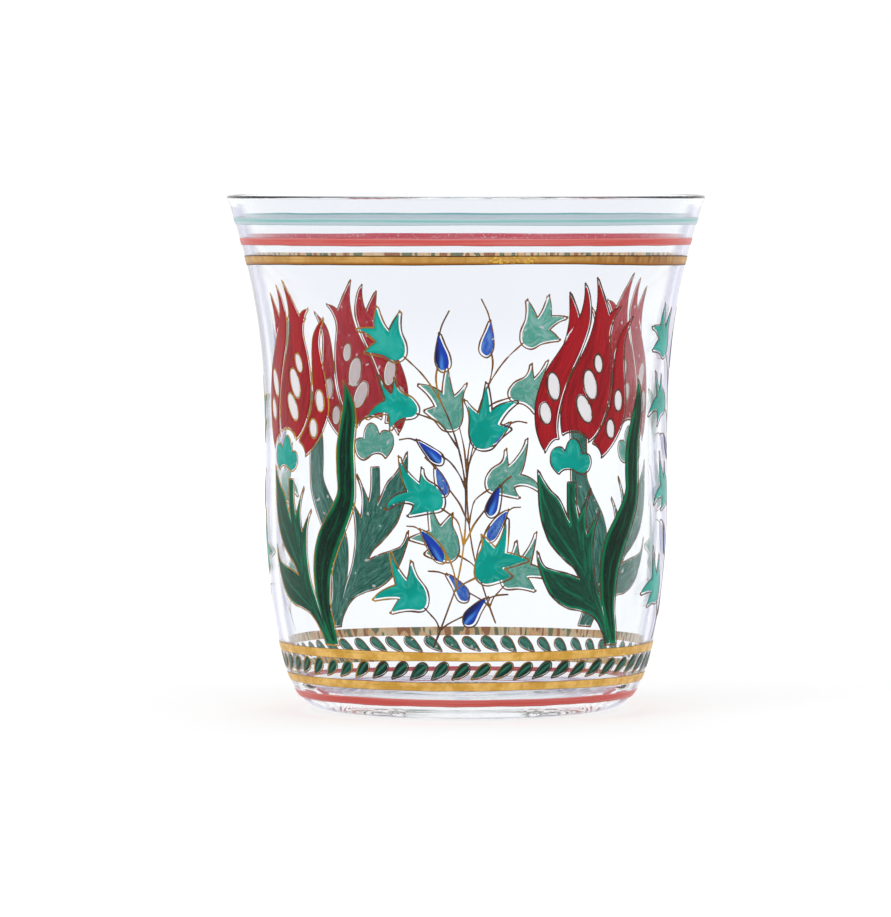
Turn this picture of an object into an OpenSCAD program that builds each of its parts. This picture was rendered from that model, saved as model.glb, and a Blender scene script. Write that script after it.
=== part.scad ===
// A hand-painted drinking glass. One clear blown tumbler with a flared rim and a rounded foot
// carries fired enamel and raised gold on its outer wall: plain bands at the rim and the foot,
// a chain of small leaves, and a ring of four tulips and four bellflower sprays, a quarter turn apart.
// The glass stands on z = 0, its axis is z, and the front spray faces -y.

/* [Glass] */
// Height of the glass
glass_h = 90.2; // [80:0.1:100]
// Outer radius of the rim
rim_r = 42; // [39:0.25:45]
// Outer radius of the straight waist
waist_r = 35.25; // [33:0.25:37.5]
// Outer radius of the flat ring that the glass stands on
foot_r = 22; // [18:0.5:26]
// Height at which the rounded foot has run out into the waist
waist_z = 36; // [30:0.5:40]
// Height at which the wall starts to flare
flare_z = 46; // [42:0.5:52]
// Thickness of the wall below the flare
wall_t = 1.5; // [1.1:0.1:2.2]
// Thickness of the wall at the rim
rim_t = 0.9; // [0.6:0.1:1.1]
// Distance from the edge of the standing ring in to the edge of the inside floor
floor_inset = 2.5; // [1:0.1:5]
// Height of the edge of the inside floor
floor_z = 2.3; // [2:0.1:5]
// Thickness of the base in the middle
base_t = 1.2; // [0.8:0.1:3]
// Radius of the shallow hollow under the base
punt_r = 15; // [10:0.5:17]
// Depth of the shallow hollow under the base
punt_d = 2; // [0.6:0.1:2.6]

/* [Rim bands] */
// Distance from the rim down to the turquoise band
turquoise_drop = 3.8; // [2.4:0.1:4]
// Width of the turquoise band
turquoise_w = 1.2; // [0.8:0.1:1.6]
// Distance from the rim down to the red band
red_drop = 7.2; // [6:0.1:7.4]
// Width of the red band
red_w = 1.25; // [0.8:0.05:1.6]
// Distance from the rim down to the gold band
gold_drop = 10; // [9.2:0.1:10.4]
// Width of the gold band
gold_w = 1.65; // [1:0.05:2]

/* [Foot bands] */
// Height of the lower edge of the red foot band
foot_red_z = 2.4; // [2:0.1:3]
// Width of the red foot band
foot_red_w = 1.05; // [0.6:0.05:1.4]
// Height of the lower edge of the lower gold foot band
foot_gold_z = 5.35; // [5:0.05:5.8]
// Width of each gold foot band
foot_gold_w = 1.55; // [1:0.05:1.8]
// Height of the strip of leaves between the two gold foot bands
chain_h = 3.65; // [3.2:0.05:4.2]

/* [Leaf chain] */
// Leaves in a quarter turn of the chain
chain_quarter = 14; // [10:1:16]
// Length of one leaf of the chain
chain_leaf_l = 4.1; // [3:0.1:4.4]
// Width of one leaf of the chain
chain_leaf_w = 1.75; // [1.2:0.05:1.9]

/* [Paint] */
// Thickness of the fired bands
band_t = 0.12; // [0.06:0.01:0.25]
// Thickness of the enamel in the flowers and leaves
enamel_t = 0.18; // [0.1:0.01:0.3]
// Thickness of the raised gold lines
line_t = 0.22; // [0.1:0.01:0.35]
// Width of a gold outline
line_w = 0.32; // [0.2:0.01:0.45]
// Width of a gold stem
stem_w = 0.42; // [0.3:0.01:0.6]
// Clear glass left between an enamel and its gold outline
line_gap = 0.12; // [0.06:0.01:0.2]
// Clear glass between the upper gold foot band and the roots of the flowers
root_gap = 0.3; // [0.2:0.05:0.6]
// Clear glass between the tips of the petals and the gold rim band
tip_gap = 2.15; // [1.4:0.05:3]

/* [Hidden] */
KINDS = ["left_petal", "middle_petal", "right_petal", "white_spots", "calyx", "leaves", "long_leaf", "gold_lines"];
SPRAY_KINDS = ["bells", "buds", "gold_stems"];
QUARTERS = ["front", "right", "back", "left"];
$fn = 96;

// Wall. The foot is a quarter of a full oval, whose two powers set how full and how round it is,
// then comes a straight waist, and the flare opens with a power of the height. The inside turns up
// from the floor more sharply than the outside, and the wall thins from the flare to the rim.
foot_full = 1.6;
foot_round = 0.27;
floor_round = 0.21;
foot_crowd = 2.2;
flare_power = 2.4;
flare_crowd = 0.8;
foot_steps = 10;
flare_steps = 6;
lip_steps = 6;
lip_r = rim_t / 2;
lip_z = glass_h - lip_r;
floor_r = foot_r - floor_inset;

function foot_curve(low_r, low_z, high_r, round, z) =
  low_r + (high_r - low_r) * pow(1 - pow(1 - (z - low_z) / (waist_z - low_z), foot_full), round);
function flare_curve(z) = waist_r + (rim_r - waist_r) * pow((z - flare_z) / (lip_z - flare_z), flare_power);
function flare_t(z) = wall_t + (rim_t - wall_t) * (z - flare_z) / (lip_z - flare_z);
function foot_heights(low_z) =
  [for (i = [0:foot_steps]) low_z + (waist_z - low_z) * pow(i / foot_steps, foot_crowd)];
flare_heights = [for (i = [0:flare_steps]) flare_z + (lip_z - flare_z) * pow(i / flare_steps, flare_crowd)];

outer_wall = concat(
  [for (z = foot_heights(0)) [foot_curve(foot_r, 0, waist_r, foot_round, z), z]],
  [for (z = flare_heights) [flare_curve(z), z]]
);
inner_wall = concat(
  [for (z = foot_heights(floor_z)) [foot_curve(floor_r, floor_z, waist_r - wall_t, floor_round, z), z]],
  [for (z = flare_heights) [flare_curve(z) - flare_t(z), z]]
);
lip = [for (i = [1:lip_steps - 1]) let (a = 180 * i / lip_steps)
  [rim_r - lip_r + lip_r * cos(a), lip_z + lip_r * sin(a)]];
// The hollow under the base and the inside floor above it are low domes, each a parabola from the
// middle out, which stops one step before its edge.
dome_steps = 8;
function dome(r, low, high) = [for (i = [0:dome_steps - 1]) let (s = i / dome_steps)
  [r * s, low + (high - low) * (1 - s * s)]];
punt = dome(punt_r, 0, punt_d);
floor_dome = dome(floor_r, floor_z, punt_d + base_t);

function backwards(list) = [for (i = [len(list) - 1:-1:0]) list[i]];
wall_table = [for (p = outer_wall) [p[1], p[0]]];
function wall_at(z) = lookup(z, wall_table);

// Places up the wall
turquoise_z = glass_h - turquoise_drop - turquoise_w;
red_z = glass_h - red_drop - red_w;
gold_z = glass_h - gold_drop - gold_w;
chain_z = foot_gold_z + foot_gold_w;
upper_gold_z = chain_z + chain_h;
field_z = upper_gold_z + foot_gold_w + root_gap;
field_h = gold_z - tip_gap - field_z;

// The drawing is read on the unrolled wall. Points are percent shares: across, of the turn that the
// drawing's full height covers, and up, of the height of the flower field.
draw_angle = 103.3;
tulip_angles = [38, 127, 216.2, 304.8];
spray_angles = [-9, 82, 171, 256.5];
// Each tulip's leaves stand a little otherwise under the flower: they bow out sideways, most at half
// height, and keep their root and the long leaf's tip.
leaf_bow_shares = [0, 0, -0.6, 3.3];
bow_end_share = 72;
function bowed(p, bow) = [p[0] + bow * sin(180 * p[1] / bow_end_share), p[1]];
// A point of the drawing as it is seen square on from the middle of its flower
function place(p) = let (z = field_z + field_h * p[1] / 100) [wall_at(z) * sin(draw_angle * p[0] / 100), z];
function placed(list) = [for (p = list) place(p)];

// Smooth closed or open line through the points: each span takes the middle point of the cubic through
// its four nearest points, if that lies off the straight. The line breaks at a point with a third entry,
// 1 for a tip, which is cut blunt as a brush leaves it, and 2 for a notch. A span that ends at a break
// follows the parabola through it and the two points beside it.
tip_share = 0.2;
straight_share = 0.3;
function is_break(p) = len(p) > 2;
function is_tip(p) = is_break(p) && p[2] == 1;
function flat(p) = [p[0], p[1]];
function middle(a, b, c, d) =
  is_break(b) && is_break(c) ? (flat(b) + flat(c)) / 2
  : is_break(b) ? (3 * flat(b) + 6 * flat(c) - flat(d)) / 8
  : is_break(c) ? (3 * flat(c) + 6 * flat(b) - flat(a)) / 8
  : (9 * flat(b) + 9 * flat(c) - flat(a) - flat(d)) / 16;
function blunt(tip, next) = let (d = flat(next) - flat(tip)) flat(tip) + d * tip_share / norm(d);
function corner(a, b, c) = is_tip(b) ? [blunt(b, a), blunt(b, c)] : [flat(b)];
function span(a, b, c, d) = let (m = middle(a, b, c, d), off = norm(m - (flat(b) + flat(c)) / 2))
  off > straight_share ? [m] : [];
function closed_line(p) = let (n = len(p)) [for (i = [0:n - 1])
  let (a = p[(i + n - 1) % n], b = p[i], c = p[(i + 1) % n], d = p[(i + 2) % n])
  each concat(corner(a, b, c), span(a, b, c, d))];
function open_line(p) = let (n = len(p)) [for (i = [0:n - 1])
  each concat([flat(p[i])], i < n - 1 ? span(p[max(i - 1, 0)], p[i], p[i + 1], p[min(i + 2, n - 1)]) : [])];

// Ribbon of one width along a line, square to its way at each point
function side_of(line, i, w) =
  let (a = line[max(i - 1, 0)], b = line[min(i + 1, len(line) - 1)], d = b - a)
  [-d[1], d[0]] * w / (2 * norm(d));
function ribbon(line, w) = concat(
  [for (i = [0:len(line) - 1]) line[i] + side_of(line, i, w)],
  [for (i = [len(line) - 1:-1:0]) line[i] - side_of(line, i, w)]
);
module area(shares, bow = 0) polygon(placed([for (p = closed_line(shares)) bowed(p, bow)]));
module stroke(shares, w) polygon(ribbon(placed(open_line(shares)), w));

// Skin of the glass between two heights: it lies on the wall and is t thick
module skin(low, high, t) {
  steps = concat([low], [for (p = outer_wall) if (p[1] > low && p[1] < high) p[1]], [high]);
  rotate_extrude() polygon(concat(
    [for (z = steps) [wall_at(z), z]],
    [for (z = backwards(steps)) [wall_at(z) + t, z]]
  ));
}

// Paint of thickness t, laid on the wall about the upright line at an angle, where the flat drawing falls
module painted(angle, low, high, t) {
  rotate([0, 0, angle]) intersection() {
    rotate([0, 0, 90]) skin(low, high, t);
    rotate([90, 0, 0]) linear_extrude(height = rim_r + wall_t) children();
  }
}
module flower(angle, t) painted(angle, field_z - root_gap, gold_z, t) children();

module glass_body() {
  color([0.9, 0.94, 0.96, 0.35]) rotate_extrude() polygon(concat(
    punt, [[punt_r, 0]], outer_wall, lip, backwards(inner_wall), backwards(floor_dome)
  ));
}

module turquoise_rim_band() color([0.25, 0.65, 0.6]) skin(turquoise_z, turquoise_z + turquoise_w, band_t);
module red_rim_band() color([0.75, 0.2, 0.2]) skin(red_z, red_z + red_w, band_t);
module gold_rim_band() color([0.75, 0.55, 0.25]) skin(gold_z, gold_z + gold_w, band_t);
module upper_gold_foot_band() color([0.85, 0.62, 0.2]) skin(upper_gold_z, upper_gold_z + foot_gold_w, band_t);
module lower_gold_foot_band() color([0.85, 0.62, 0.2]) skin(foot_gold_z, foot_gold_z + foot_gold_w, band_t);
module red_foot_band() color([0.75, 0.25, 0.25]) skin(foot_red_z, foot_red_z + foot_red_w, band_t);

// Chain of leaning leaves. A leaf is a drop: its half width follows a power of the way from the tip,
// times the root of the way left to the head, so that the tip is sharp and the head is round.
chain_angle = -1.8;
chain_lean_angle = 38;
quarter_angle = 360 / len(QUARTERS);
chain_sides = 5;
drop_power = 1.1;
function drop_form(s) = pow(s, drop_power) * sqrt(1 - s);
drop_peak = drop_form(drop_power / (drop_power + 1 / 2));
function drop(l, w) = [for (i = [0:2 * chain_sides - 1]) let (s = pow(sin(90 * i / chain_sides), 2))
  [l * (s - 1 / 2), (i > chain_sides ? 1 : -1) * w / 2 * drop_form(s) / drop_peak]];
module chain_leaf_shape(extra) {
  translate([0, chain_z + chain_h / 2])
    rotate(chain_lean_angle) offset(delta = extra) polygon(drop(chain_leaf_l, chain_leaf_w));
}
module around_chain(t) {
  for (i = [0:len(QUARTERS) * chain_quarter - 1])
    painted(chain_angle + quarter_angle * i / chain_quarter, chain_z, chain_z + chain_h, t) children();
}
module leaf_chain() color([0.1, 0.35, 0.25]) around_chain(enamel_t) chain_leaf_shape(0);
module leaf_chain_outlines() color([0.6, 0.4, 0.15]) around_chain(line_t) difference() {
  chain_leaf_shape(line_w);
  chain_leaf_shape(0);
}

// Tulip: outlines of the enamel, in percent shares of the drawing
left_petal_shares = [[-5.2, 98, 1], [-3.9, 95.4], [-2.9, 91], [-3, 86.5], [-5, 80.2], [-8, 73.6], [-10.2, 67.4],
  [-11.4, 61.5], [-11.1, 56.8, 2], [-13, 56.2], [-14.9, 53.6, 1], [-16.9, 57.8], [-17.7, 63.4], [-16.8, 69.8],
  [-14.2, 75.9], [-10.3, 81.8], [-7.3, 87.2, 2], [-8.8, 85.2], [-9.9, 82.9, 1], [-9, 88.4], [-9.4, 95.6, 1],
  [-7.4, 91.8], [-6.3, 88.9, 2], [-5.1, 92.6]];
middle_petal_shares = [[-1.6, 99.4, 1], [0.8, 95], [3.6, 89.5, 2], [5.2, 91], [7.2, 91.6, 1], [5.2, 88.6],
  [4.3, 84.5], [5.4, 78.5], [6, 71.8], [5, 64.8], [2.4, 59.4], [-1.1, 56.1, 1], [-2.8, 57.9], [-6, 58.9],
  [-9.7, 58, 2], [-10.1, 62.5], [-9.3, 68.6], [-6.8, 74.4], [-4, 79.7], [-1.8, 85.2], [-0.8, 91], [-1, 96]];
right_petal_shares = [[12.6, 88.9, 1], [11.2, 85.8], [10.2, 81.5], [11, 75.3], [12, 69.6], [12.3, 64],
  [10.7, 59.4], [7.3, 55], [3.4, 51.8, 1], [2.3, 54], [0.2, 55.4, 2], [3, 59], [5.7, 63.4], [7, 68.6],
  [7.1, 74.6], [7.6, 80.4], [8.9, 84.8]];
// White spots: middle across, middle up, half width, half height, lean to the left in degrees
left_spot_shares = [[-12.6, 70.8, 1.55, 3.6, 12], [-14.8, 63.6, 1.4, 2.7, 12]];
middle_spot_shares = [[1.3, 76.6, 1.2, 2.4, 15], [-1.1, 71, 1.9, 4, 18], [-2.8, 64.6, 1.8, 3.8, 28]];
right_spot_shares = [[9.4, 66.5, 1.4, 2.7, 5], [6.6, 59, 1.4, 2.4, 5]];
calyx_shares = [[-9, 53.2], [-10.2, 54.2], [-11.8, 54.1], [-13.1, 52.9], [-13.1, 50], [-11, 47.5, 2],
  [-9.4, 48.6], [-7, 48.6], [-5, 47.7], [-3.5, 47.3], [-1.7, 48.2], [-0.8, 50.2], [-1.5, 52.1],
  [-3.9, 52.3, 2], [-4.4, 54.8], [-6, 56.5], [-7.8, 55.7]];
leaves_shares = [[-8.1, 44.8, 2], [-8.2, 41], [-8, 37], [-7.3, 33.4, 2], [-9, 36.5], [-11, 40.3], [-14, 43.2],
  [-16.9, 47.8, 1], [-16.8, 42], [-16, 35.6], [-13.6, 29.4], [-9.4, 24.8], [-5.8, 22], [-3.5, 18.5, 2], [-7, 19.9],
  [-12.4, 21.4], [-15.2, 22.6], [-17, 26.2, 1], [-15.9, 21.2], [-12.8, 15.2], [-8, 11.6], [-2.6, 10.3],
  [2.2, 8.5], [5.8, 4.8], [8, 0.8, 2], [10.2, 0.8, 2], [7.6, 5.4], [5.6, 9.2], [3.8, 12.8], [2.1, 16.8], [0.8, 21.2],
  [0.2, 25.6], [0.2, 29.8], [0.9, 33.4], [2.3, 36.5, 1], [0.5, 34], [-1.8, 30.4, 2], [-2.4, 33], [-2.6, 36.4],
  [-2.1, 39.4], [-0.8, 42.5, 1], [-2.8, 38.8], [-4.7, 34.8, 2], [-5.5, 38], [-5.8, 41], [-5.8, 44.8, 2]];
long_leaf_shares = [[18.3, 71.4, 1], [17.4, 66.4], [15.2, 60.4], [13.3, 54], [12.9, 48], [13, 42.6], [11.2, 38.8],
  [8.4, 34.8], [5.6, 30.6], [4, 25.9], [3.5, 20.8], [3.9, 16.6], [4.7, 13.2], [6, 9.4], [7.9, 5.4], [10.5, 0.8, 2],
  [13, 0.8, 2], [11.7, 5.2], [10.2, 10], [9.9, 14.6], [10.4, 20.8], [12.7, 27.2], [15.9, 33.5], [18.2, 39.6],
  [18.6, 46.4], [18.8, 54], [20.2, 61.2], [20.3, 66.6]];
spot_sides = 12;

module spot(s) {
  polygon(placed([for (i = [0:spot_sides - 1]) let (a = 360 * i / spot_sides, x = s[2] * cos(a), y = s[3] * sin(a))
    [s[0] + x * cos(s[4]) - y * sin(s[4]), s[1] + x * sin(s[4]) + y * cos(s[4])]]));
}
module spots(list) for (s = list) spot(s);
module petal(shares, spot_list) {
  difference() {
    area(shares);
    offset(delta = 2 * line_gap + line_w) spots(spot_list);
  }
}
module all_spots() {
  spots(left_spot_shares);
  spots(middle_spot_shares);
  spots(right_spot_shares);
}
module outline_of(gap, w) {
  difference() {
    offset(delta = gap + w) children();
    offset(delta = gap) children();
  }
}
module tulip_lines(bow) {
  outline_of(line_gap, line_w) all_spots();
  outline_of(line_gap, line_w) {
    area(left_petal_shares);
    area(middle_petal_shares);
    area(right_petal_shares);
    area(calyx_shares);
    area(leaves_shares, bow);
    area(long_leaf_shares, bow);
  }
}

module tulip_part(i, kind) {
  angle = tulip_angles[i];
  bow = leaf_bow_shares[i];
  if (kind == "left_petal") color([0.65, 0.12, 0.15])
    flower(angle, enamel_t) petal(left_petal_shares, left_spot_shares);
  if (kind == "middle_petal") color([0.65, 0.12, 0.15])
    flower(angle, enamel_t) petal(middle_petal_shares, middle_spot_shares);
  if (kind == "right_petal") color([0.65, 0.1, 0.1])
    flower(angle, enamel_t) petal(right_petal_shares, right_spot_shares);
  if (kind == "white_spots") color([0.93, 0.92, 0.93])
    flower(angle, enamel_t) all_spots();
  if (kind == "calyx") color([0, 0.65, 0.6])
    flower(angle, enamel_t) area(calyx_shares);
  if (kind == "leaves") color([0.15, 0.33, 0.25])
    flower(angle, enamel_t) area(leaves_shares, bow);
  if (kind == "long_leaf") color([0.05, 0.25, 0.12])
    flower(angle, enamel_t) area(long_leaf_shares, bow);
  if (kind == "gold_lines") color([0.55, 0.35, 0.12])
    flower(angle, line_t) tulip_lines(bow);
}

// Bellflower spray: bells, buds, the stem that carries them all, and their own stems
bell_shares = [
  [[-15, 91.8, 1], [-13.8, 88], [-12, 85.4, 2], [-10.6, 88], [-8.8, 90.5, 1], [-9, 85.8], [-7.7, 82], [-8, 79],
    [-10.6, 77.7], [-14, 79.2], [-19, 79.9, 1], [-17.4, 81.4], [-15.4, 82.6, 2], [-18, 84.8], [-21, 86, 1],
    [-18.4, 86.3], [-15.9, 86.2, 2], [-15.8, 89]],
  [[-15.6, 73.6, 1], [-13.8, 70.8], [-11.5, 68.5, 2], [-11, 70.3], [-10.7, 72.6, 1], [-9.3, 69.4], [-6, 67.6],
    [-4.3, 65], [-5.4, 62.9], [-9, 62.1], [-12, 59.5, 1], [-12.1, 61.6], [-12.6, 63.6, 2], [-15.6, 63.6],
    [-18.8, 62.3, 1], [-16.6, 65], [-13.2, 67, 2], [-14, 69.6]],
  [[-9.6, 51.6, 1], [-8, 48.4], [-4, 44.6, 2], [-3.6, 46.4], [-3.3, 48.7, 1], [-2.4, 46], [0.6, 44],
    [2.4, 41.2], [1.8, 38.2], [-2, 37.3], [-6.9, 36.3, 1], [-6, 37.6], [-5.4, 39.4, 2], [-9, 40], [-13.4, 38.2, 1],
    [-11.4, 41], [-7, 42.6, 2], [-8.6, 46]],
  [[-12.4, 26, 1], [-10.8, 22.4], [-8, 18.6, 2], [-7.2, 20.4], [-6.5, 23.6, 1], [-5.3, 20], [-2.8, 16.4],
    [-2.4, 13], [-4, 11], [-8, 11.1], [-12.7, 10.3, 1], [-11.4, 12.3], [-9.8, 14.2, 2], [-13, 14.4],
    [-17.9, 13.8, 1], [-15, 16], [-10.8, 17.4, 2], [-11.6, 21]],
  [[8.6, 66.9, 1], [10.2, 65], [12.2, 63.4, 2], [13.2, 66.6], [14.1, 71.5, 1], [14.9, 67.6], [15.2, 63.9, 2],
    [18.4, 66.1], [22.4, 66.9, 1], [19.4, 64.2], [17.3, 60.8, 2], [20.6, 59.7, 1], [17.6, 57.2], [15, 54.5],
    [11.4, 54.7], [9.8, 58], [9.9, 63]],
  [[13, 30.9, 1], [14.4, 29.6], [16.3, 27.6, 2], [18.2, 30.4], [19.7, 35.4, 1], [19.6, 30.6], [19.2, 26.4, 2],
    [22, 25.8], [25.4, 24.5, 1], [21.6, 23.4], [18.3, 22.5, 2], [20.8, 20.3, 1], [17.6, 19], [13.6, 18.3],
    [11.2, 20.6], [11.5, 24.6], [13.1, 28]]
];
bud_shares = [
  [[1.6, 84.6, 1], [0.8, 80.6], [0.8, 77.2], [2.3, 75.2], [4.1, 76.4], [3.9, 79], [2.6, 82]],
  [[-4.3, 56.3, 1], [-1, 54.6], [1.9, 52.6], [1.9, 50.4], [-0.4, 50.9], [-2.6, 53.6]],
  [[17.7, 44.1, 1], [15.6, 41.6], [14, 38.3], [15, 36.4], [16.8, 37.4], [17.6, 41]],
  [[-3.6, 32.3, 1], [-0.4, 30.2], [2.4, 26.8], [2.4, 24.2], [0.2, 24.6], [-1.9, 28.2]],
  [[14.4, 14.3, 1], [11.4, 12.9], [8.2, 10.1], [8.2, 7.3], [10.6, 7.5], [12.4, 11]]
];
// Stems, each a line of points from its lower end
stem_shares = [
  [[-0.7, 0.8], [1.3, 5.4], [3.9, 12], [5.9, 17.4], [7.5, 24.5], [8.4, 32], [8.6, 40], [8.2, 47], [6.6, 55],
    [3.9, 63], [0.8, 69], [-3.2, 74.4], [-8, 78.9]],
  [[1.3, 5.4], [0.2, 7.9], [-1.2, 9.5], [-3.6, 12]],
  [[1.3, 5.4], [3.6, 7.2], [8, 9.5]],
  [[5.2, 15.6], [7.4, 17.8], [12, 20.2]],
  [[5.8, 17.2], [5.6, 20], [4.4, 24], [1.8, 28]],
  [[8.1, 28.6], [9.4, 31], [11, 34.3], [14.6, 39]],
  [[8, 28.4], [7.3, 32], [6, 35.4], [1.4, 38.8]],
  [[8.5, 43.6], [7, 47.2], [4.4, 50.8], [1.4, 52.7]],
  [[8.7, 42], [9.2, 48.4], [11, 56]],
  [[6.9, 54], [3.4, 59.3], [0.4, 61.9], [-5.2, 63.8]],
  [[2, 66.8], [1.2, 70], [0.8, 73.4], [1.4, 77]],
  [[1.6, 84.2], [2.4, 87.2], [4.3, 91]],
  [[-4, 56.1], [-6.6, 56.9], [-9.4, 56.5]],
  [[17.4, 43.4], [19.2, 45.6], [20.9, 46.9]],
  [[-3.4, 32], [-5.2, 33.2], [-7.5, 33.4]],
  [[14, 14.1], [17.2, 15.1], [20.2, 15.3]]
];

module bells() for (s = bell_shares) area(s);
module buds() for (s = bud_shares) area(s);
module spray_lines() {
  difference() {
    union() {
      offset(delta = line_gap + line_w) {
        bells();
        buds();
      }
      for (s = stem_shares) stroke(s, stem_w);
    }
    offset(delta = line_gap) {
      bells();
      buds();
    }
  }
}

module spray_part(i, kind) {
  angle = spray_angles[i];
  if (kind == "bells") color([0, 0.65, 0.58]) flower(angle, enamel_t) bells();
  if (kind == "buds") color([0.05, 0.2, 0.6]) flower(angle, enamel_t) buds();
  if (kind == "gold_stems") color([0.45, 0.28, 0.15]) flower(angle, line_t) spray_lines();
}

glass_body();
turquoise_rim_band();
red_rim_band();
gold_rim_band();
upper_gold_foot_band();
lower_gold_foot_band();
red_foot_band();
leaf_chain();
leaf_chain_outlines();
for (i = [0:3], kind = KINDS)
  tulip_part(i, kind);
for (i = [0:3], kind = SPRAY_KINDS)
  spray_part(i, kind);
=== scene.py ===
import math
import bpy
import numpy as np
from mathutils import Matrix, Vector


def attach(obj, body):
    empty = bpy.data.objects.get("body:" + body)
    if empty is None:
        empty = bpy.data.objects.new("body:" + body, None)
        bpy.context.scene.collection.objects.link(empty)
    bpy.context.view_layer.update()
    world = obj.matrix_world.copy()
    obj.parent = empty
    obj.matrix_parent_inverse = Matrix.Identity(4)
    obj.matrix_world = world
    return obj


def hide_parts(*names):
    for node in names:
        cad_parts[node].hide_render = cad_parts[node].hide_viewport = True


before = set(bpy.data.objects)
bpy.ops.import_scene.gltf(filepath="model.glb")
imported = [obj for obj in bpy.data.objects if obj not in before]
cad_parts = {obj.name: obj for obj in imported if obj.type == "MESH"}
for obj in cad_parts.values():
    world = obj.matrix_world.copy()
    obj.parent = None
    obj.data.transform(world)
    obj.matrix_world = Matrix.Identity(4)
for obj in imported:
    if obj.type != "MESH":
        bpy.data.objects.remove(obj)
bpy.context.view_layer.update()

# The blown glass
# A clear tumbler, blown in one piece: a thin flared rim, a straight waist and a thick rounded foot
# with a shallow hollow under it. The wall is a little uneven all round, as blown glass is, and what
# is painted on it follows the same wall. Sizes are in millimetres until a mesh is made.
MM = 0.001
GLASS_H, RIM_R, WAIST_R, FOOT_R = 90.2, 42.0, 35.25, 22.0
WAIST_Z, FLARE_Z, WALL_T, RIM_T = 36.0, 46.0, 1.5, 0.9
FLOOR_R, FLOOR_Z, BASE_T, PUNT_R, PUNT_D = 19.5, 2.3, 1.2, 15.0, 2.0
FOOT_FULL, FOOT_ROUND, FLOOR_ROUND, FLARE_POWER = 1.6, 0.27, 0.21, 2.4
LIP_Z = GLASS_H - RIM_T / 2
LIP_TILT = math.atan(FLARE_POWER * (RIM_R - WAIST_R) / (LIP_Z - FLARE_Z))
LIP_R = RIM_T / 2 * math.cos(LIP_TILT)
LIP_OUT = GLASS_H - LIP_R * (1 + math.sin(LIP_TILT))
LIP_IN = LIP_OUT + 2 * LIP_R * math.sin(LIP_TILT)


def foot_curve(low_r, low_z, high_r, roundness, z):
    """Rounded foot: a full oval's quarter, whose powers set how full and how round it is."""
    way = np.clip((z - low_z) / (WAIST_Z - low_z), 0, 1)
    return low_r + (high_r - low_r) * (1 - (1 - way) ** FOOT_FULL) ** roundness


def flare_curve(z):
    """Straight waist that opens towards the rim with a power of the height."""
    way = np.maximum((z - FLARE_Z) / (LIP_Z - FLARE_Z), 0)
    return WAIST_R + (RIM_R - WAIST_R) * way ** FLARE_POWER


def unevenness(theta, z):
    """How far the blown wall stands off its true radius: a few slow waves round and up the wall."""
    waves = 0.05 * np.sin(2 * theta + 0.6) + 0.03 * np.sin(3 * theta + z / 21 + 2.0)
    return waves * np.clip((z - 2) / 8, 0, 1)


def outer_radius(theta, z):
    """The outer wall: the foot's curve up to the waist, then the flare's."""
    z = np.asarray(z, float)
    foot = foot_curve(FOOT_R, 0.0, WAIST_R, FOOT_ROUND, z)
    return np.where(z < WAIST_Z, foot, flare_curve(z)) + unevenness(theta, z)


def inner_radius(theta, z):
    """The inner wall: the same curves, less the wall, which thins to the rim and swells in soft ribs."""
    wall = WALL_T + (RIM_T - WALL_T) * np.clip((z - FLARE_Z) / (LIP_Z - FLARE_Z), 0, 1)
    foot = foot_curve(FLOOR_R, FLOOR_Z, WAIST_R - WALL_T, FLOOR_ROUND, z)
    ribs = 0.012 * np.sin(5 * theta + 1.0) + 0.006 * np.sin(11 * theta + z / 30)
    fade = np.clip((z - FLOOR_Z) / 10, 0, 1) * np.clip((LIP_Z - z) / 25, 0, 1)
    return np.where(z < WAIST_Z, foot, flare_curve(z) - wall) + unevenness(theta, z) + ribs * fade


def make_piece(name, points, polygons, material_of=None):
    """A mesh object at the origin from an array of points in millimetres and a list of index arrays."""
    mesh = bpy.data.meshes.new(name)
    counts = np.concatenate([np.full(len(p), p.shape[1]) for p in polygons])
    corners = np.concatenate([p.ravel() for p in polygons]).astype(np.int32)
    mesh.vertices.add(len(points))
    mesh.vertices.foreach_set("co", (np.asarray(points) * MM).astype(np.float32).ravel())
    mesh.loops.add(len(corners))
    mesh.loops.foreach_set("vertex_index", corners)
    mesh.polygons.add(len(counts))
    mesh.polygons.foreach_set("loop_start", (np.cumsum(counts) - counts).astype(np.int32))
    mesh.polygons.foreach_set("use_smooth", np.ones(len(counts), bool))
    if material_of is not None:
        mesh.polygons.foreach_set("material_index", material_of.astype(np.int32))
    mesh.update(calc_edges=True)
    mesh.validate()
    piece = bpy.data.objects.new(name, mesh)
    bpy.context.scene.collection.objects.link(piece)
    return piece


def lay_on(piece, node, slot, *materials):
    """The piece stands for a node of the solid model, rides with it and takes its finish."""
    for material in materials:
        piece.data.materials.append(material)
    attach(piece, "root")
    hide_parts(node)
    return piece


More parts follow.
